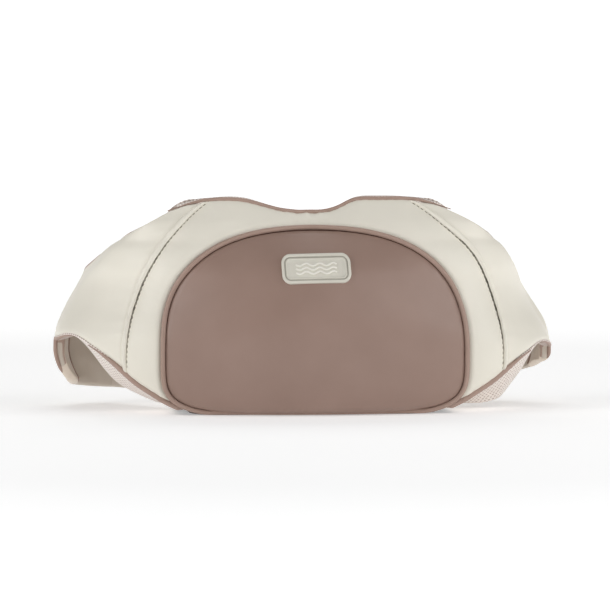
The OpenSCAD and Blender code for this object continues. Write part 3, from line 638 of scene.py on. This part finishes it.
# Distances from the part in metres between which the floor's glow rises
GLOW_START = 0.7
GLOW_END = 2.6


def floor_look(name, value, near_glow, far_glow):
    """Pale paper whose glow rises with the distance from the part."""
    look = Look(name, roughness=0.9, specular=0.0)
    look.paint(look.noise(3, 2), [(0.3, [value, value, value, 1]), (0.7, [value + 0.01] * 3 + [1])])
    away = look.node("ShaderNodeVectorMath", operation="LENGTH")
    look.link(look.where, away.inputs[0])
    glow = look.ramp(away.outputs["Value"], GLOW_START, GLOW_END, near_glow, far_glow)
    look.link(glow, look.shader.inputs["Emission Strength"])
    look.shader.inputs["Emission Color"].default_value = (1, 1, 1, 1)
    return look.material


PANEL_LEATHER = leather("panel_leather", (150, 124, 112), 0.7, (0.40, 0.50), 3)
COVER_LEATHER = leather("cover_leather", (232, 227, 214), 0.8, (0.42, 0.52), 2)
PIPING = leather("piping_leather", (166, 140, 127), 0.6, (0.44, 0.56), 4)
# Painted shadow: dark brown leather for the shade in the groove round the panel.
GROOVE_SHADE = leather("groove_shadow", (112, 82, 70), 0.6, (0.6, 0.7), 4)
# Stitch thread darkened to also stand for the shadowed stitch holes: real thread plus painted shade.
THREAD_AND_HOLE_SHADE = cloth("thread_with_hole_shade", (142, 136, 120), 2600, 8, 0.2)
MESH_KNIT = knit_mesh("mesh_knit", (243, 234, 226), (176, 152, 142))
LINING = cloth("lining_cloth", (212, 201, 188), 1300, 6)
BAND_SUEDE = suede("band_suede", (228, 214, 198))
TIP_FACING = suede("tip_facing", (176, 152, 139))
BASE_CLOTH = cloth("base_cloth", (96, 82, 75), 900, 8, 0.35)
BADGE_RUBBER = moulded("badge_rubber", (216, 212, 200), (0.5, 0.62), 0.08)
BADGE_PRINT = moulded("badge_print", (238, 235, 226), (0.45, 0.55), 0.04)
BADGE_SHADE = moulded("badge_shade", (168, 163, 152), (0.6, 0.7), 0.04)
ZIP_METAL = metal("zip_metal", (176, 172, 168), (0.25, 0.4))
STEEL = metal("steel", (190, 190, 194))
DARK_PLASTIC = moulded("dark_plastic", (38, 36, 36))
POD_PLASTIC = moulded("pod_plastic", (84, 72, 66), (0.38, 0.5))

SLOT_LOOKS = {
    "panel_leather": PANEL_LEATHER,
    "piping": PIPING,
    "cover_leather": COVER_LEATHER,
    "badge_rubber": BADGE_RUBBER,
    "mesh_fabric": MESH_KNIT,
    "base_fabric": BASE_CLOTH,
    "foam": cloth("pad_foam", (236, 226, 190), 700, 6, 0.3),
    "lining_fabric": LINING,
    "suede_band": BAND_SUEDE,
    "zip_tape": BASE_CLOTH,
    "zip_metal": ZIP_METAL,
    "shell_abs": moulded("shell_abs", (64, 62, 64)),
    "gearbox_nylon": moulded("gear_nylon", (214, 210, 200), (0.35, 0.5)),
    "steel": STEEL,
    "motor_can": metal("motor_can", (168, 170, 174), (0.28, 0.4)),
    "bronze": metal("bronze", (178, 138, 82)),
    "node_plastic": moulded("node_plastic", (134, 108, 100), (0.3, 0.42)),
    "cell_wrap": moulded("cell_wrap", (60, 92, 156), (0.2, 0.3), 0.02),
    "circuit_board": moulded("circuit_board", (26, 92, 58), (0.3, 0.45), 0.1),
    "inlet_plastic": DARK_PLASTIC,
    "wire_sheath": moulded("wire_sheath", (172, 44, 34), (0.35, 0.45)),
    "button_plastic": moulded("button_plastic", (222, 216, 204), (0.4, 0.52)),
    "light_lens": moulded("light_lens", (170, 214, 232), (0.12, 0.2), 0.01),
}


def dress_cad():
    """Gives every CAD part the finish of its slot."""
    for part in frame["record"]["subparts"]:
        mesh = nodes[part["node"]].data
        mesh.materials.clear()
        mesh.materials.append(SLOT_LOOKS[part["material_slot"]])
    nodes["control_pod"].data.materials[0] = POD_PLASTIC


# ---------------------------------------------------------------- pieces
def rolled_edge(start, end, base, rise, count):
    """Rows of points that roll from start up over the top and down to end."""
    rows = []
    for k in np.linspace(0, 1, count)[1:]:
        a = k * math.pi / 2
        row = mix(start, end, 1 - math.cos(a))
        row[:, 2] = base + rise * math.sin(a)
        rows.append(row)
    return rows


def bound_to(obj):
    """Bakes the piece's placement into its mesh."""
    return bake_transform(obj)


def on_root(obj, slot, *replaced):
    """A fixed piece on the root, with the nodes it stands for hidden; slot is not used."""
    if replaced:
        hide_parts(*replaced)
    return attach(obj, "root")


PANEL_SINK = 0.9
PANEL_SOFT_EDGE = 5.0
PANEL_RIM = 0.5
PUCKERS = 57


def front_panel():
    """The domed panel, with its edge turned down into the groove under the piping."""
    angles = np.linspace(0, 360, 180, endpoint=False)
    shares = np.concatenate([np.linspace(0.0, 0.9, 26), np.linspace(0.9, 1.0, 14)[1:]])
    grid = np.zeros((len(angles), len(shares), 3))
    edge_x, edge_z = panel_edge(angles, PANEL_RIM)
    reach = np.hypot(edge_x, edge_z - PANEL_MID_Z)
    for j, share in enumerate(shares):
        x = edge_x * share
        z = PANEL_MID_Z + (edge_z - PANEL_MID_Z) * share
        depth = (1 - share) * reach
        sink = PANEL_SINK * np.clip(1 - depth / PANEL_SOFT_EDGE, 0, 1) ** 2
        pucker = 0.16 * np.sin(angles * math.pi / 180 * PUCKERS) * np.clip(1 - depth / 14, 0, 1)
        swell = 0.8 * np.clip(depth / 30, 0, 1)
        grid[:, j] = front_point(x, z) + front_normal(x, z) * (swell + pucker - sink)[:, None]
    obj = grid_object("front_panel_leather", grid, PANEL_LEATHER, flip=True, wrap=True)
    shell(obj, thickness=2.2)
    on_root(obj, "panel_leather", "front_panel")


def panel_groove():
    """Dark strip sunk in the groove between panel and cover; its dark colour is painted shade of the groove.
    """
    angles = np.linspace(0, 360, 160, endpoint=False)
    grid = np.zeros((len(angles), 5, 3))
    for j, grow in enumerate(np.linspace(-5, 6, 5)):
        x, z = panel_edge(angles, grow)
        grid[:, j] = front_point(x, np.maximum(z, 1.6)) - front_normal(x, z) * 3.4
    obj = grid_object("panel_groove_shade", grid, GROOVE_SHADE, flip=True, wrap=True)
    shell(obj, thickness=1.2, levels=0)
    on_root(obj, "panel_leather")


def panel_piping():
    """Piping round the panel's edge."""
    angles = np.linspace(-90, 270, 241)
    x, z = panel_edge(angles, PIPING_R - 0.1)
    path = front_point(x, z) + front_normal(x, z) * 0.3
    path[:, 2] = np.maximum(path[:, 2], PIPING_R + 0.4)
    obj = tube("front_panel_piping_cord", path, PIPING_R, PIPING, 16, 1.6)
    on_root(obj, "piping", "front_panel_piping")


COVER_END = 25.0


def front_cover():
    """Padded ring between the panel's piping and the long seams."""
    t = np.linspace(-COVER_END, 180 + COVER_END, 320)
    a = np.radians(t)
    inner_x, inner_z = panel_edge(t, PIPING_R * 1.95)
    inner = np.hypot(inner_x, inner_z - PANEL_MID_Z)
    tries = np.linspace(90, 160, 900)[:, None]
    try_x, try_z = tries * np.cos(a), PANEL_MID_Z + tries * np.sin(a)
    reach = seam_radius(try_z, np.sign(np.cos(a))) + 1.0
    inside = (try_z <= top_z(try_x)) & (try_z >= hem_z(try_x)) & (tries <= reach)
    outer = np.where(inside, tries, 0).max(axis=0)
    outer = np.maximum(outer, inner + 1.0)
    shares = np.concatenate([np.linspace(0, 0.16, 8), np.linspace(0.16, 0.84, 20)[1:],
                             np.linspace(0.84, 1, 8)[1:]])
    grid = np.zeros((len(t), len(shares), 3))
    for j, share in enumerate(shares):
        r = mix(inner, outer, share)
        x, z = r * np.cos(a), PANEL_MID_Z + r * np.sin(a)
        near_panel, near_seam = r - inner, outer - r
        width = outer - inner
        puff = np.minimum(3.2, width * 0.09) * np.sin(math.pi * np.clip(share, 0, 1)) ** 0.8
        sink = 2.2 * np.clip(1 - near_panel / 4, 0, 1) ** 2 + 0.35 * np.clip(1 - near_seam / 2.0, 0, 1) ** 2
        pull = 0.20 * np.sin(a * 131) * (0.5 * np.exp(-near_panel / 4) + np.exp(-near_seam / 3.5))
        crease = 0.5 * bump(90, 9, t) * np.sin((t - 90) * 0.9) * share
        grid[:, j] = front_point(x, z) + front_normal(x, z) * (puff - sink + pull + crease)[:, None]
    obj = grid_object("front_cover_leather", drooped(grid), COVER_LEATHER, flip=True)
    shell(obj, thickness=2.0)
    on_root(obj, "cover_leather", "front_cover")


def stretched_along(knots, count):
    """count values spread over the knots, which are (value, share of the count used up to there)."""
    values, shares = zip(*knots)
    return np.interp(np.linspace(0, 1, count), shares, values)


WELT_MID = 2.9


def wing_skin(side_name):
    """Leather outside of a wing: near wall, tip, and the strap back to the body."""
    side, loop = SIDES[side_name], LOOPS[side_name]
    u = stretched_along([(0, 0), (0.09, 0.12), (0.9, 0.4), (1.1, 0.55), (2, 1)], 190)
    low, high = wing_limits(u, SEAMS[side_name], loop)
    v = np.linspace(0, 1, 60)
    uu, vv = np.meshgrid(u, v, indexing="ij")
    z = mix(low[:, None], high[:, None], vv)
    s = wing_s(uu, z, SEAMS[side_name])
    place = wing_point(s, z)
    normal = wing_normal(s, z)
    out = np.linalg.norm(np.diff(place, axis=0), axis=2)
    from_seam = np.concatenate([np.zeros((1, len(v))), np.cumsum(out, axis=0)])
    height = z - low[:, None]
    below_top = high[:, None] - z
    raised = 1.9 * np.clip(1 - ((from_seam - WELT_MID) / WELT_MID) ** 2, 0, 1) ** 0.8
    crease = -0.1 * np.exp(-(from_seam / 0.6) ** 2) - 0.45 * bump(2 * WELT_MID + 0.6, 1.1, from_seam)
    pull = 0.28 * np.sin(z * 0.62) * np.exp(-np.clip(from_seam - 5, 0, None) / 9)
    tuck = -1.3 * (np.clip(1 - height / 4, 0, 1) ** 2 + np.clip(1 - below_top / 4, 0, 1) ** 2)
    soft = 1.5 * np.sin(math.pi * vv) * (uu < 1) * np.clip((1 - uu) * 4, 0, 1)
    slack = 0.5 * np.sin(z * 0.11 + uu * 5.0) * bump(1.1, 0.35, uu)
    grid = place + normal * (raised + crease + pull + tuck + soft + slack)[..., None]
    obj = grid_object(side_name + "_wing_leather", mirrored(grid, side), COVER_LEATHER, flip=side < 0)
    shell(obj, thickness=1.6)
    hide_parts(side_name + "_wing_root", side_name + "_wing_panel", side_name + "_loop_strap",
                side_name + "_strap_root")
    bound_to(obj)


# Thickness of a wing at s, and where its inside leaves the body's back
THICKNESS = [(0.5, 45), (0.6, 34), (0.7, 22), (0.85, 14), (1.0, 8), (1.3, 6), (2.0, 5)]
BACK_START_X = 105.0
INNER_START_S = 0.38
INNER_END_S = 0.62
INNER_RUN_X = 28.0


def inner_point(s, z):
    """Inner surface of a wing: the body's back near the middle, then the wall less its thickness."""
    xb = BACK_START_X + (s - INNER_START_S) / (INNER_END_S - INNER_START_S) * INNER_RUN_X
    back = points(xb, back_y(xb, z), z)
    outer = wing_point(s, z)
    wall = outer - wing_normal(s, z) * smooth(THICKNESS, s)[..., None]
    wall[..., 2] = z
    return mix(back, wall, step(0.45, 0.62, s)[..., None])


# Lower edge of each wing's inside under the hem, height over x
FACET_LOW = {"left": [(100, 3.0), (118, 4.5), (126.6, 7.5), (138.6, 13), (149, 18.5), (158.6, 26.5),
                      (166.6, 38), (172, 46.5), (177, 56), (201, 66)],
             "right": [(100, 2.2), (118, 2.3), (140.6, 2.8), (150.8, 5.2), (156, 8.4), (162.6, 19.3),
                       (167.7, 33), (172, 46.5), (177, 56), (201, 66)]}


def facet_low(s, side_name):
    """Height of the inside's lower edge at each s; it tucks up behind the hem near the tip."""
    loop = LOOPS[side_name]
    hem = low_at(s, loop)
    z = hem.copy()
    for _ in range(40):
        x = inner_point(s, z)[:, 0]
        z = mix(z, np.minimum(smooth(FACET_LOW[side_name], x), hem - 0.8 + 2 * step(0.7, 0.8, s)), 0.5)
    return z


def wing_mesh(side_name):
    """Knit inside of a near wall, with the facet under the hem and the rolled top edge."""
    side, loop = SIDES[side_name], LOOPS[side_name]
    s = stretched_along([(INNER_START_S, 0), (INNER_END_S, 0.4), (1.0, 1)], 90)
    low, high = low_at(s, loop), high_at(s)
    inner_low = facet_low(s, side_name)
    crown = mix(2.5, -2.0, step(0.5, 0.66, s))
    rows = []
    hem = wing_point(s, low)
    lower = inner_point(s, inner_low)
    for k in np.linspace(0, 1, 12):
        bulge = 2.2 * math.sin(math.pi * k) * (1 - step(0.66, 0.78, s))
        row = mix(hem, lower, k)
        row[:, 2] -= bulge
        rows.append(row)
    shoulder = high - ROLL_H
    for k in np.linspace(0, 1, 34)[1:]:
        rows.append(inner_point(s, mix(inner_low, shoulder, k)))
    top_out = wing_point(s, high)
    inner_top = inner_point(s, shoulder)
    rows += rolled_edge(inner_top, top_out, shoulder, high + crown - shoulder, 14)
    rows.append(top_out - np.array([0, -1.0, 4.0]))
    grid = np.stack(rows, axis=1)
    obj = grid_object(side_name + "_wing_mesh", mirrored(grid, side), MESH_KNIT, flip=side > 0)
    shell(obj, thickness=1.6)
    bound_to(obj)


def strap_inside(uu, vv, low, high, rise):
    """Inner surface of a strap, which starts on the outside's lower edge; rise lifts it inwards."""
    turn = 0.06
    closing = np.clip(vv / turn, 0, 1)
    z = mix(low, high, np.clip((vv - turn) / (1 - turn), 0, 1))
    inner = inner_point(uu, z) - wing_normal(uu, z) * (rise * closing)[..., None]
    place = mix(wing_point(uu, low), inner, closing[..., None])
    place[..., 2] -= 1.6 * np.sin(math.pi * closing)
    return place


def loop_lining(side_name):
    """Woven lining inside the strap of an arm loop."""
    side, loop = SIDES[side_name], LOOPS[side_name]
    u = stretched_along([(0.97, 0), (1.15, 0.35), (2, 1)], 90)
    v = np.concatenate([np.linspace(0, 0.06, 7), np.linspace(0.06, 1, 40)[1:]])
    uu, vv = np.meshgrid(u, v, indexing="ij")
    fold = 0.3 * np.sin(vv * 30 + uu * 9) - 0.4 * np.clip(1 - vv / 0.1, 0, 1)
    grid = strap_inside(uu, vv, low_at(uu, loop), high_at(uu) - 1, fold)
    obj = grid_object(side_name + "_loop_lining", mirrored(grid, side), LINING, flip=side > 0)
    shell(obj, thickness=1.0)
    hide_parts(side_name + "_wing_lining")
    bound_to(obj)


def band_on_fold(name, side_name, material, foot, head, top, swell, base_rise):
    """Band sewn over the inside of the fold; foot and head are the spans of s at its lower and upper end."""
    side, loop = SIDES[side_name], LOOPS[side_name]
    v = np.concatenate([np.linspace(0, 0.06, 8), np.linspace(0.06, 1, 44)[1:]])
    across = np.linspace(0, 1, 20)
    aa, vv = np.meshgrid(across, v, indexing="ij")
    uu = mix(mix(foot[0], foot[1], aa), mix(head[0], head[1], aa), vv)
    edges = bump(0.08, 0.07, aa) + bump(0.92, 0.07, aa)
    lump = 0.35 * np.sin(vv * 13) + 0.25 * np.sin(vv * 29 + 1)
    rise = base_rise + swell * np.sin(math.pi * aa) ** 0.7 * (1 + 0.4 * lump) - 0.4 * edges
    low = low_at(uu, loop) + 0.6 - 0.7 * swell
    grid = strap_inside(uu, vv, low, np.minimum(high_at(uu), top), rise)
    obj = grid_object(name, mirrored(grid, side), material, flip=side > 0)
    shell(obj, thickness=1.2)
    bound_to(obj)
    return obj


def loop_bands(side_name):
    """Taupe facing round the tip, and the pale suede band sewn over it."""
    band_on_fold(side_name + "_tip_facing", side_name, TIP_FACING, (0.86, 1.035), (0.86, 1.06),
                 70, 0.2, 0.9)
    band = band_on_fold(side_name + "_fold_band", side_name, BAND_SUEDE,
                        (1.03, 1.16), (1.04, 1.22), 80, 1.6, 1.0)
    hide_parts(side_name + "_loop_band")
    loop = LOOPS[side_name]
    z = np.linspace(low_at(1.17, loop) + 1, 84, 60)
    s = mix(1.17, 1.23, (z - z[0]) / (z[-1] - z[0]))
    line = inner_point(s, z) - wing_normal(s, z) * 0.9
    seam = tube(side_name + "_band_seam", mirrored(line, SIDES[side_name]), 0.7, PIPING, 8, 1.5)
    bound_to(seam)


HEM_PIPING_R = 2.3
TIP_PIPING_R = 1.7
STRAP_EDGE_R = 2.0


def edge_binding(side_name):
    """Piping along the hem and round the tip, and narrow bound edges on the strap."""
    side, loop = SIDES[side_name], LOOPS[side_name]

    def finish_edge(name, path, radius, material, taper):
        obj = tube(name, mirrored(path, side), radius, material, 14, 1.5, taper)
        bound_to(obj)
        return obj

    x = np.linspace(106, 178, 60)
    z = hem_z(x)
    hem = points(x, front_y(x, z) + 1.0, z - 1.0)
    piping = finish_edge(side_name + "_hem_piping_cord", hem, HEM_PIPING_R, PIPING, (4, 40))
    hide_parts(side_name + "_hem_piping", side_name + "_wing_piping")
    s = np.linspace(0.8, 1.08, 60)
    low = low_at(s, loop)
    tip = wing_point(s, low) - wing_normal(s, low) * 1.4
    finish_edge(side_name + "_tip_piping_cord", tip, TIP_PIPING_R, PIPING, (34, 12))
    s = np.linspace(1.05, 2.0, 110)
    high = high_at(s) - 1.0
    over = wing_point(s, high) - wing_normal(s, high) * 2.4
    finish_edge(side_name + "_strap_top_edge", over, STRAP_EDGE_R, PIPING, (14, 0))


PIPING_END_X = 114.0
TOP_PIPING_R = 1.9


def top_piping():
    """Piping between cover and mesh; it thins out over the shoulders' outer ends."""
    x = np.linspace(-PIPING_END_X, PIPING_END_X, 260)
    z = top_z(x)
    away = step(84, PIPING_END_X, np.abs(x))
    path = front_point(x, z) + points(0.0 * x, 1.5 + 1.5 * away, 0.5 - 1.6 * away)
    obj = tube("top_piping_cord", path, TOP_PIPING_R, PIPING, 14, 1.5, (44, 44))
    on_root(obj, "piping", "top_piping")


# Places on the back where a kneading node presses the knit out, x and z
NODE_SPOTS = [(31, 100), (59, 60)]
NODE_SPREAD = 17.0
NODE_PUSH = 1.3
KNIT_FULLNESS = 3.2


def back_mesh():
    """Knit back over the kneading nodes, rolled over the top to the piping."""
    x = np.linspace(-BACK_START_X - 2, BACK_START_X + 2, 130)
    v = np.linspace(0, 1, 60)
    xx, vv = np.meshgrid(x, v, indexing="ij")
    shoulder = top_z(xx) - ROLL_H
    z = mix(2.2, shoulder, vv)
    y = back_y(xx, z)
    for node_x, node_z in NODE_SPOTS:
        off_x, off_z = np.abs(xx) - node_x, z - node_z
        y = y + NODE_PUSH * np.exp(-((off_x / NODE_SPREAD) ** 2 + (off_z / NODE_SPREAD) ** 2))
    face = points(xx, y, z)
    top = top_z(x)
    lip = front_point(x, top) + points(0.0, 2.0, 0.0) * np.ones((len(x), 1))
    fuzz = KNIT_FULLNESS * (0.35 + 0.65 * bump(55, 32, np.abs(x)))
    rows = rolled_edge(face[:, -1], lip, top - ROLL_H, ROLL_H + fuzz, 16)
    last = lip.copy()
    last[:, 2] = top - 1.5
    rows.append(last)
    grid = np.concatenate([face, np.stack(rows, axis=1)], axis=1)
    obj = grid_object("back_mesh_knit", grid, MESH_KNIT, flip=True)
    shell(obj, thickness=1.8)
    on_root(obj, "mesh_fabric", "mesh_cover", "left_side_foam", "right_side_foam")


def back_seams():
    """Thin piping where the back's middle meets its sides."""
    for side_name, side in SIDES.items():
        z = np.linspace(4, 160, 60)
        path = points(BACK_START_X + 0.0 * z, back_y(BACK_START_X, z) + 0.6, z)
        obj = tube(side_name + "_back_seam_cord", mirrored(path, side), 1.3, PIPING, 10, 1.8)
        on_root(obj, "piping")


BADGE_W = 55.0
BADGE_H = 22.0
BADGE_CORNER = 7.0
BADGE_TILT = math.radians(1.0)
WAVE_LENGTH = 10.7
WAVE_RISE = 0.9


def badge():
    """Raised rubber badge with a double border and a plain row of waves."""
    centre_x = (BADGE_LOW.x + BADGE_HIGH.x) / 2
    centre_z = (BADGE_LOW.z + BADGE_HIGH.z) / 2
    w, h, tilt = BADGE_W, BADGE_H, BADGE_TILT

    def place(px, pz, lift):
        x = centre_x + px * math.cos(tilt) - pz * math.sin(tilt)
        z = centre_z + px * math.sin(tilt) + pz * math.cos(tilt)
        return front_point(x, z) + front_normal(x, z) * (lift + 0.8)

    rings = [(0.0, -1.0), (0.0, 1.5), (-0.4, 2.2), (-1.0, 2.5), (-1.7, 2.5), (-2.1, 2.1), (-2.3, 1.3),
             (-3.0, 1.2), (-3.2, 1.5), (-3.5, 1.9), (-4.0, 1.9), (-4.3, 1.5), (-4.5, 1.0)]
    grid = []
    for grow, lift in rings:
        outline = rounded_outline(w + 2 * grow, h + 2 * grow, BADGE_CORNER + grow, 10)
        grid.append(place(outline[:, 0], outline[:, 1], lift))
    for share in (0.75, 0.5, 0.25, 0.02):
        outline = rounded_outline((w - 9) * share, (h - 9) * share, max(0.02, 2.0 * share), 10)
        grid.append(place(outline[:, 0], outline[:, 1], 1.0))
    ring_grid = np.stack(grid, axis=1)
    obj = grid_object("front_badge_rubber", ring_grid, BADGE_RUBBER, flip=True, wrap=True)
    on_root(obj, "badge_rubber", "badge")
    # Thin darker tube in the groove of the double border: painted shade of that groove.
    outline = rounded_outline(w - 5.2, h - 5.2, 4.4, 10)
    border_path = place(outline[:, 0], outline[:, 1], 1.5)
    border = tube("badge_border_shade", np.concatenate([border_path, border_path[:1]]), 0.4, BADGE_SHADE, 8, 0.8)
    on_root(border, "badge_rubber")
    for k, rise in enumerate((-3.0, 0.0, 3.0)):
        px = np.linspace(-16, 16, 90)
        pz = rise + WAVE_RISE * np.sin(px * 2 * math.pi / WAVE_LENGTH)
        wave = tube("badge_wave_" + str(k + 1), place(px, pz, 1.3), 0.75, BADGE_PRINT, 10, 0.6)
        on_root(wave, "badge_rubber")


def base():
    """Cloth underside with a rounded edge and a welt round it."""
    low, high = (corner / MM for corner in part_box("base_panel"))
    centre_y = (low.y + high.y) / 2
    w, d = high.x - low.x, high.y - low.y
    rings = [(-60, 0.0), (-30, 0.0), (-8, 0.0), (-3, 0.0), (-1.0, 0.35), (0.0, 1.2), (0.2, 2.2), (-1.0, 3.2),
             (-12, 3.4)]
    grid = []
    for grow, z in rings:
        outline = rounded_outline(w + 2 * max(grow, -36), d + 2 * max(grow, -36), max(26 + grow, 1.0), 12)
        grid.append(points(outline[:, 0], outline[:, 1] + centre_y, z))
    obj = grid_object("base_cloth_panel", np.stack(grid, axis=1), BASE_CLOTH, flip=False, wrap=True)
    on_root(obj, "base_fabric", "base_panel")


STITCH_L = 2.5
STITCH_STEP = 4.0
STITCH_R = 0.42


def stitch_row(name, path, material):
    """Stitches spaced along a path."""
    path = resample(path, STITCH_STEP)
    middles = (path[:-1] + path[1:]) / 2
    return capsules(name, middles, path[1:] - path[:-1], STITCH_L, STITCH_R, material)


def seam_stitches(side_name):
    """Stitches in the crease on the inner side of the long seam."""
    side = SIDES[side_name]
    z = np.linspace(36, 166, 160)
    x = SEAMS[side_name](z) - 0.5
    path = front_point(x, z) + front_normal(x, z) * 0.35
    obj = stitch_row(side_name + "_seam_stitches", mirrored(path, side), THREAD_AND_HOLE_SHADE)
    bound_to(obj)


def inlet_bezel():
    """Rubber surround of the charging inlet, with a shallow socket and its tongue."""
    low, high = (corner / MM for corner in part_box("charge_inlet"))
    middle_x, middle_z = (low.x + high.x) / 2, (low.z + high.z) / 2
    face_y = high.y + 0.6
    w, h = high.x - low.x + 4, high.z - low.z + 4
    rings = [(w, h, -3.5), (w, h, 1.2), (w - 1.2, h - 1.2, 1.9), (10.8, 5.2, 1.9), (9.8, 4.2, 1.4),
             (9.6, 4.0, 0.5), (4.0, 1.2, 0.5), (0.2, 0.06, 0.5)]
    grid = []
    for ring_w, ring_h, lift in rings:
        outline = rounded_outline(ring_w, ring_h, min(ring_h / 2 - 0.01, 6.0), 8)
        grid.append(points(middle_x + outline[:, 0], face_y + lift, middle_z + outline[:, 1]))
    obj = grid_object("inlet_bezel", np.stack(grid, axis=1), DARK_PLASTIC, flip=False, wrap=True)
    on_root(obj, "inlet_plastic")
    tongue_x = np.linspace(-2.6, 2.6, 8)
    path = points(middle_x + tongue_x, face_y + 0.9, middle_z)
    tongue = tube("inlet_tongue", path, 0.35, STEEL, 8, 0.5)
    on_root(tongue, "steel")


ZIP_Z = 9.0
TOOTH_STEP = 1.9
TOOTH_L = 4.2
TOOTH_R = 0.5
TOOTH_SINK = 0.45


def zipper_teeth():
    """Coil of teeth between the two tapes."""
    low, high = (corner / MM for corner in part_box("zipper_tape"))
    x = np.arange(low.x + 4, high.x - 4, TOOTH_STEP)
    places = points(x, high.y - TOOTH_SINK, ZIP_Z)
    across = points(0.0 * x, 0.0, 1.0)
    obj = capsules("zipper_coil_teeth", places, across, TOOTH_L, TOOTH_R, ZIP_METAL)
    on_root(obj, "zip_metal")


# ---------------------------------------------------------------- floor, light and camera
FLOOR_RADIUS = 14.0
RIM_HEIGHT = 1.4


def backdrop():
    """Plain pale floor that runs out of sight on every side and turns up at its far edge."""
    turn = np.linspace(0, 2 * math.pi, 96, endpoint=False)
    verts = [(FLOOR_RADIUS * math.cos(a), FLOOR_RADIUS * math.sin(a), z)
             for z in (0.0, RIM_HEIGHT) for a in turn]
    count = len(turn)
    rim = [(i, (i + 1) % count, count + (i + 1) % count, count + i) for i in range(count)]
    mesh = bpy.data.meshes.new("floor")
    mesh.from_pydata(verts, [], [list(range(count))] + rim)
    mesh.materials.append(floor_look("floor_paper", 0.86, 0.32, 0.95))
    obj = bpy.data.objects.new("floor", mesh)
    bpy.context.collection.objects.link(obj)


# Name, place, size and power of each soft light
LIGHTS = [("key_light", (0.9, -1.3, 1.25), (1.1, 1.1), 6.4),
          ("fill_light", (-1.3, -1.1, 1.0), (1.2, 1.2), 2.4),
          ("left_light", (-1.6, -0.5, 0.9), (0.8, 0.8), 8.4),
          ("right_light", (1.6, -0.5, 0.9), (0.8, 0.8), 7.2),
          ("back_light", (0.1, 1.3, 1.4), (1.6, 0.8), 9)]
LIT_MIDDLE = (0, 0, 0.09)
ROOM_LIGHT = 0.24


def soft_light(name, place, size, power):
    """Rectangular lamp that faces the middle of the part."""
    light = bpy.data.lights.new(name, "AREA")
    light.shape = "RECTANGLE"
    light.size, light.size_y = size
    light.energy = power
    obj = bpy.data.objects.new(name, light)
    obj.location = place
    obj.rotation_euler = (Vector(LIT_MIDDLE) - Vector(place)).to_track_quat("-Z", "Y").to_euler()
    bpy.context.collection.objects.link(obj)


def studio():
    """Even white room light and soft lamps."""
    bpy.context.scene.view_settings.view_transform = "Standard"
    world = bpy.data.worlds.new("studio")
    world.use_nodes = True
    world.node_tree.nodes["Background"].inputs["Color"].default_value = (1, 1, 1, 1)
    world.node_tree.nodes["Background"].inputs["Strength"].default_value = ROOM_LIGHT
    bpy.context.scene.world = world
    for name, place, size, power in LIGHTS:
        soft_light(name, place, size, power)


def camera():
    """Long lens, nearly square to the front and a little above it."""
    azimuth = math.radians(-5.5)
    elevation = math.radians(4.0)
    distance = 8.14
    target = Vector((-0.0044, -0.02, 0.0847))
    away = Vector((math.sin(azimuth) * math.cos(elevation), -math.cos(azimuth) * math.cos(elevation),
                   math.sin(elevation)))
    data = bpy.data.cameras.new("photo_camera")
    data.lens = 600
    data.sensor_width = 36
    obj = bpy.data.objects.new("photo_camera", data)
    obj.location = target + away * distance
    obj.rotation_euler = (-away).to_track_quat("-Z", "Y").to_euler()
    bpy.context.collection.objects.link(obj)
    bpy.context.scene.camera = obj


dress_cad()
front_panel()
panel_groove()
panel_piping()
front_cover()
top_piping()
for name in SIDES:
    wing_skin(name)
    wing_mesh(name)
    loop_lining(name)
    loop_bands(name)
    edge_binding(name)
    seam_stitches(name)
back_mesh()
back_seams()
badge()
base()
zipper_teeth()
inlet_bezel()
backdrop()
studio()
camera()
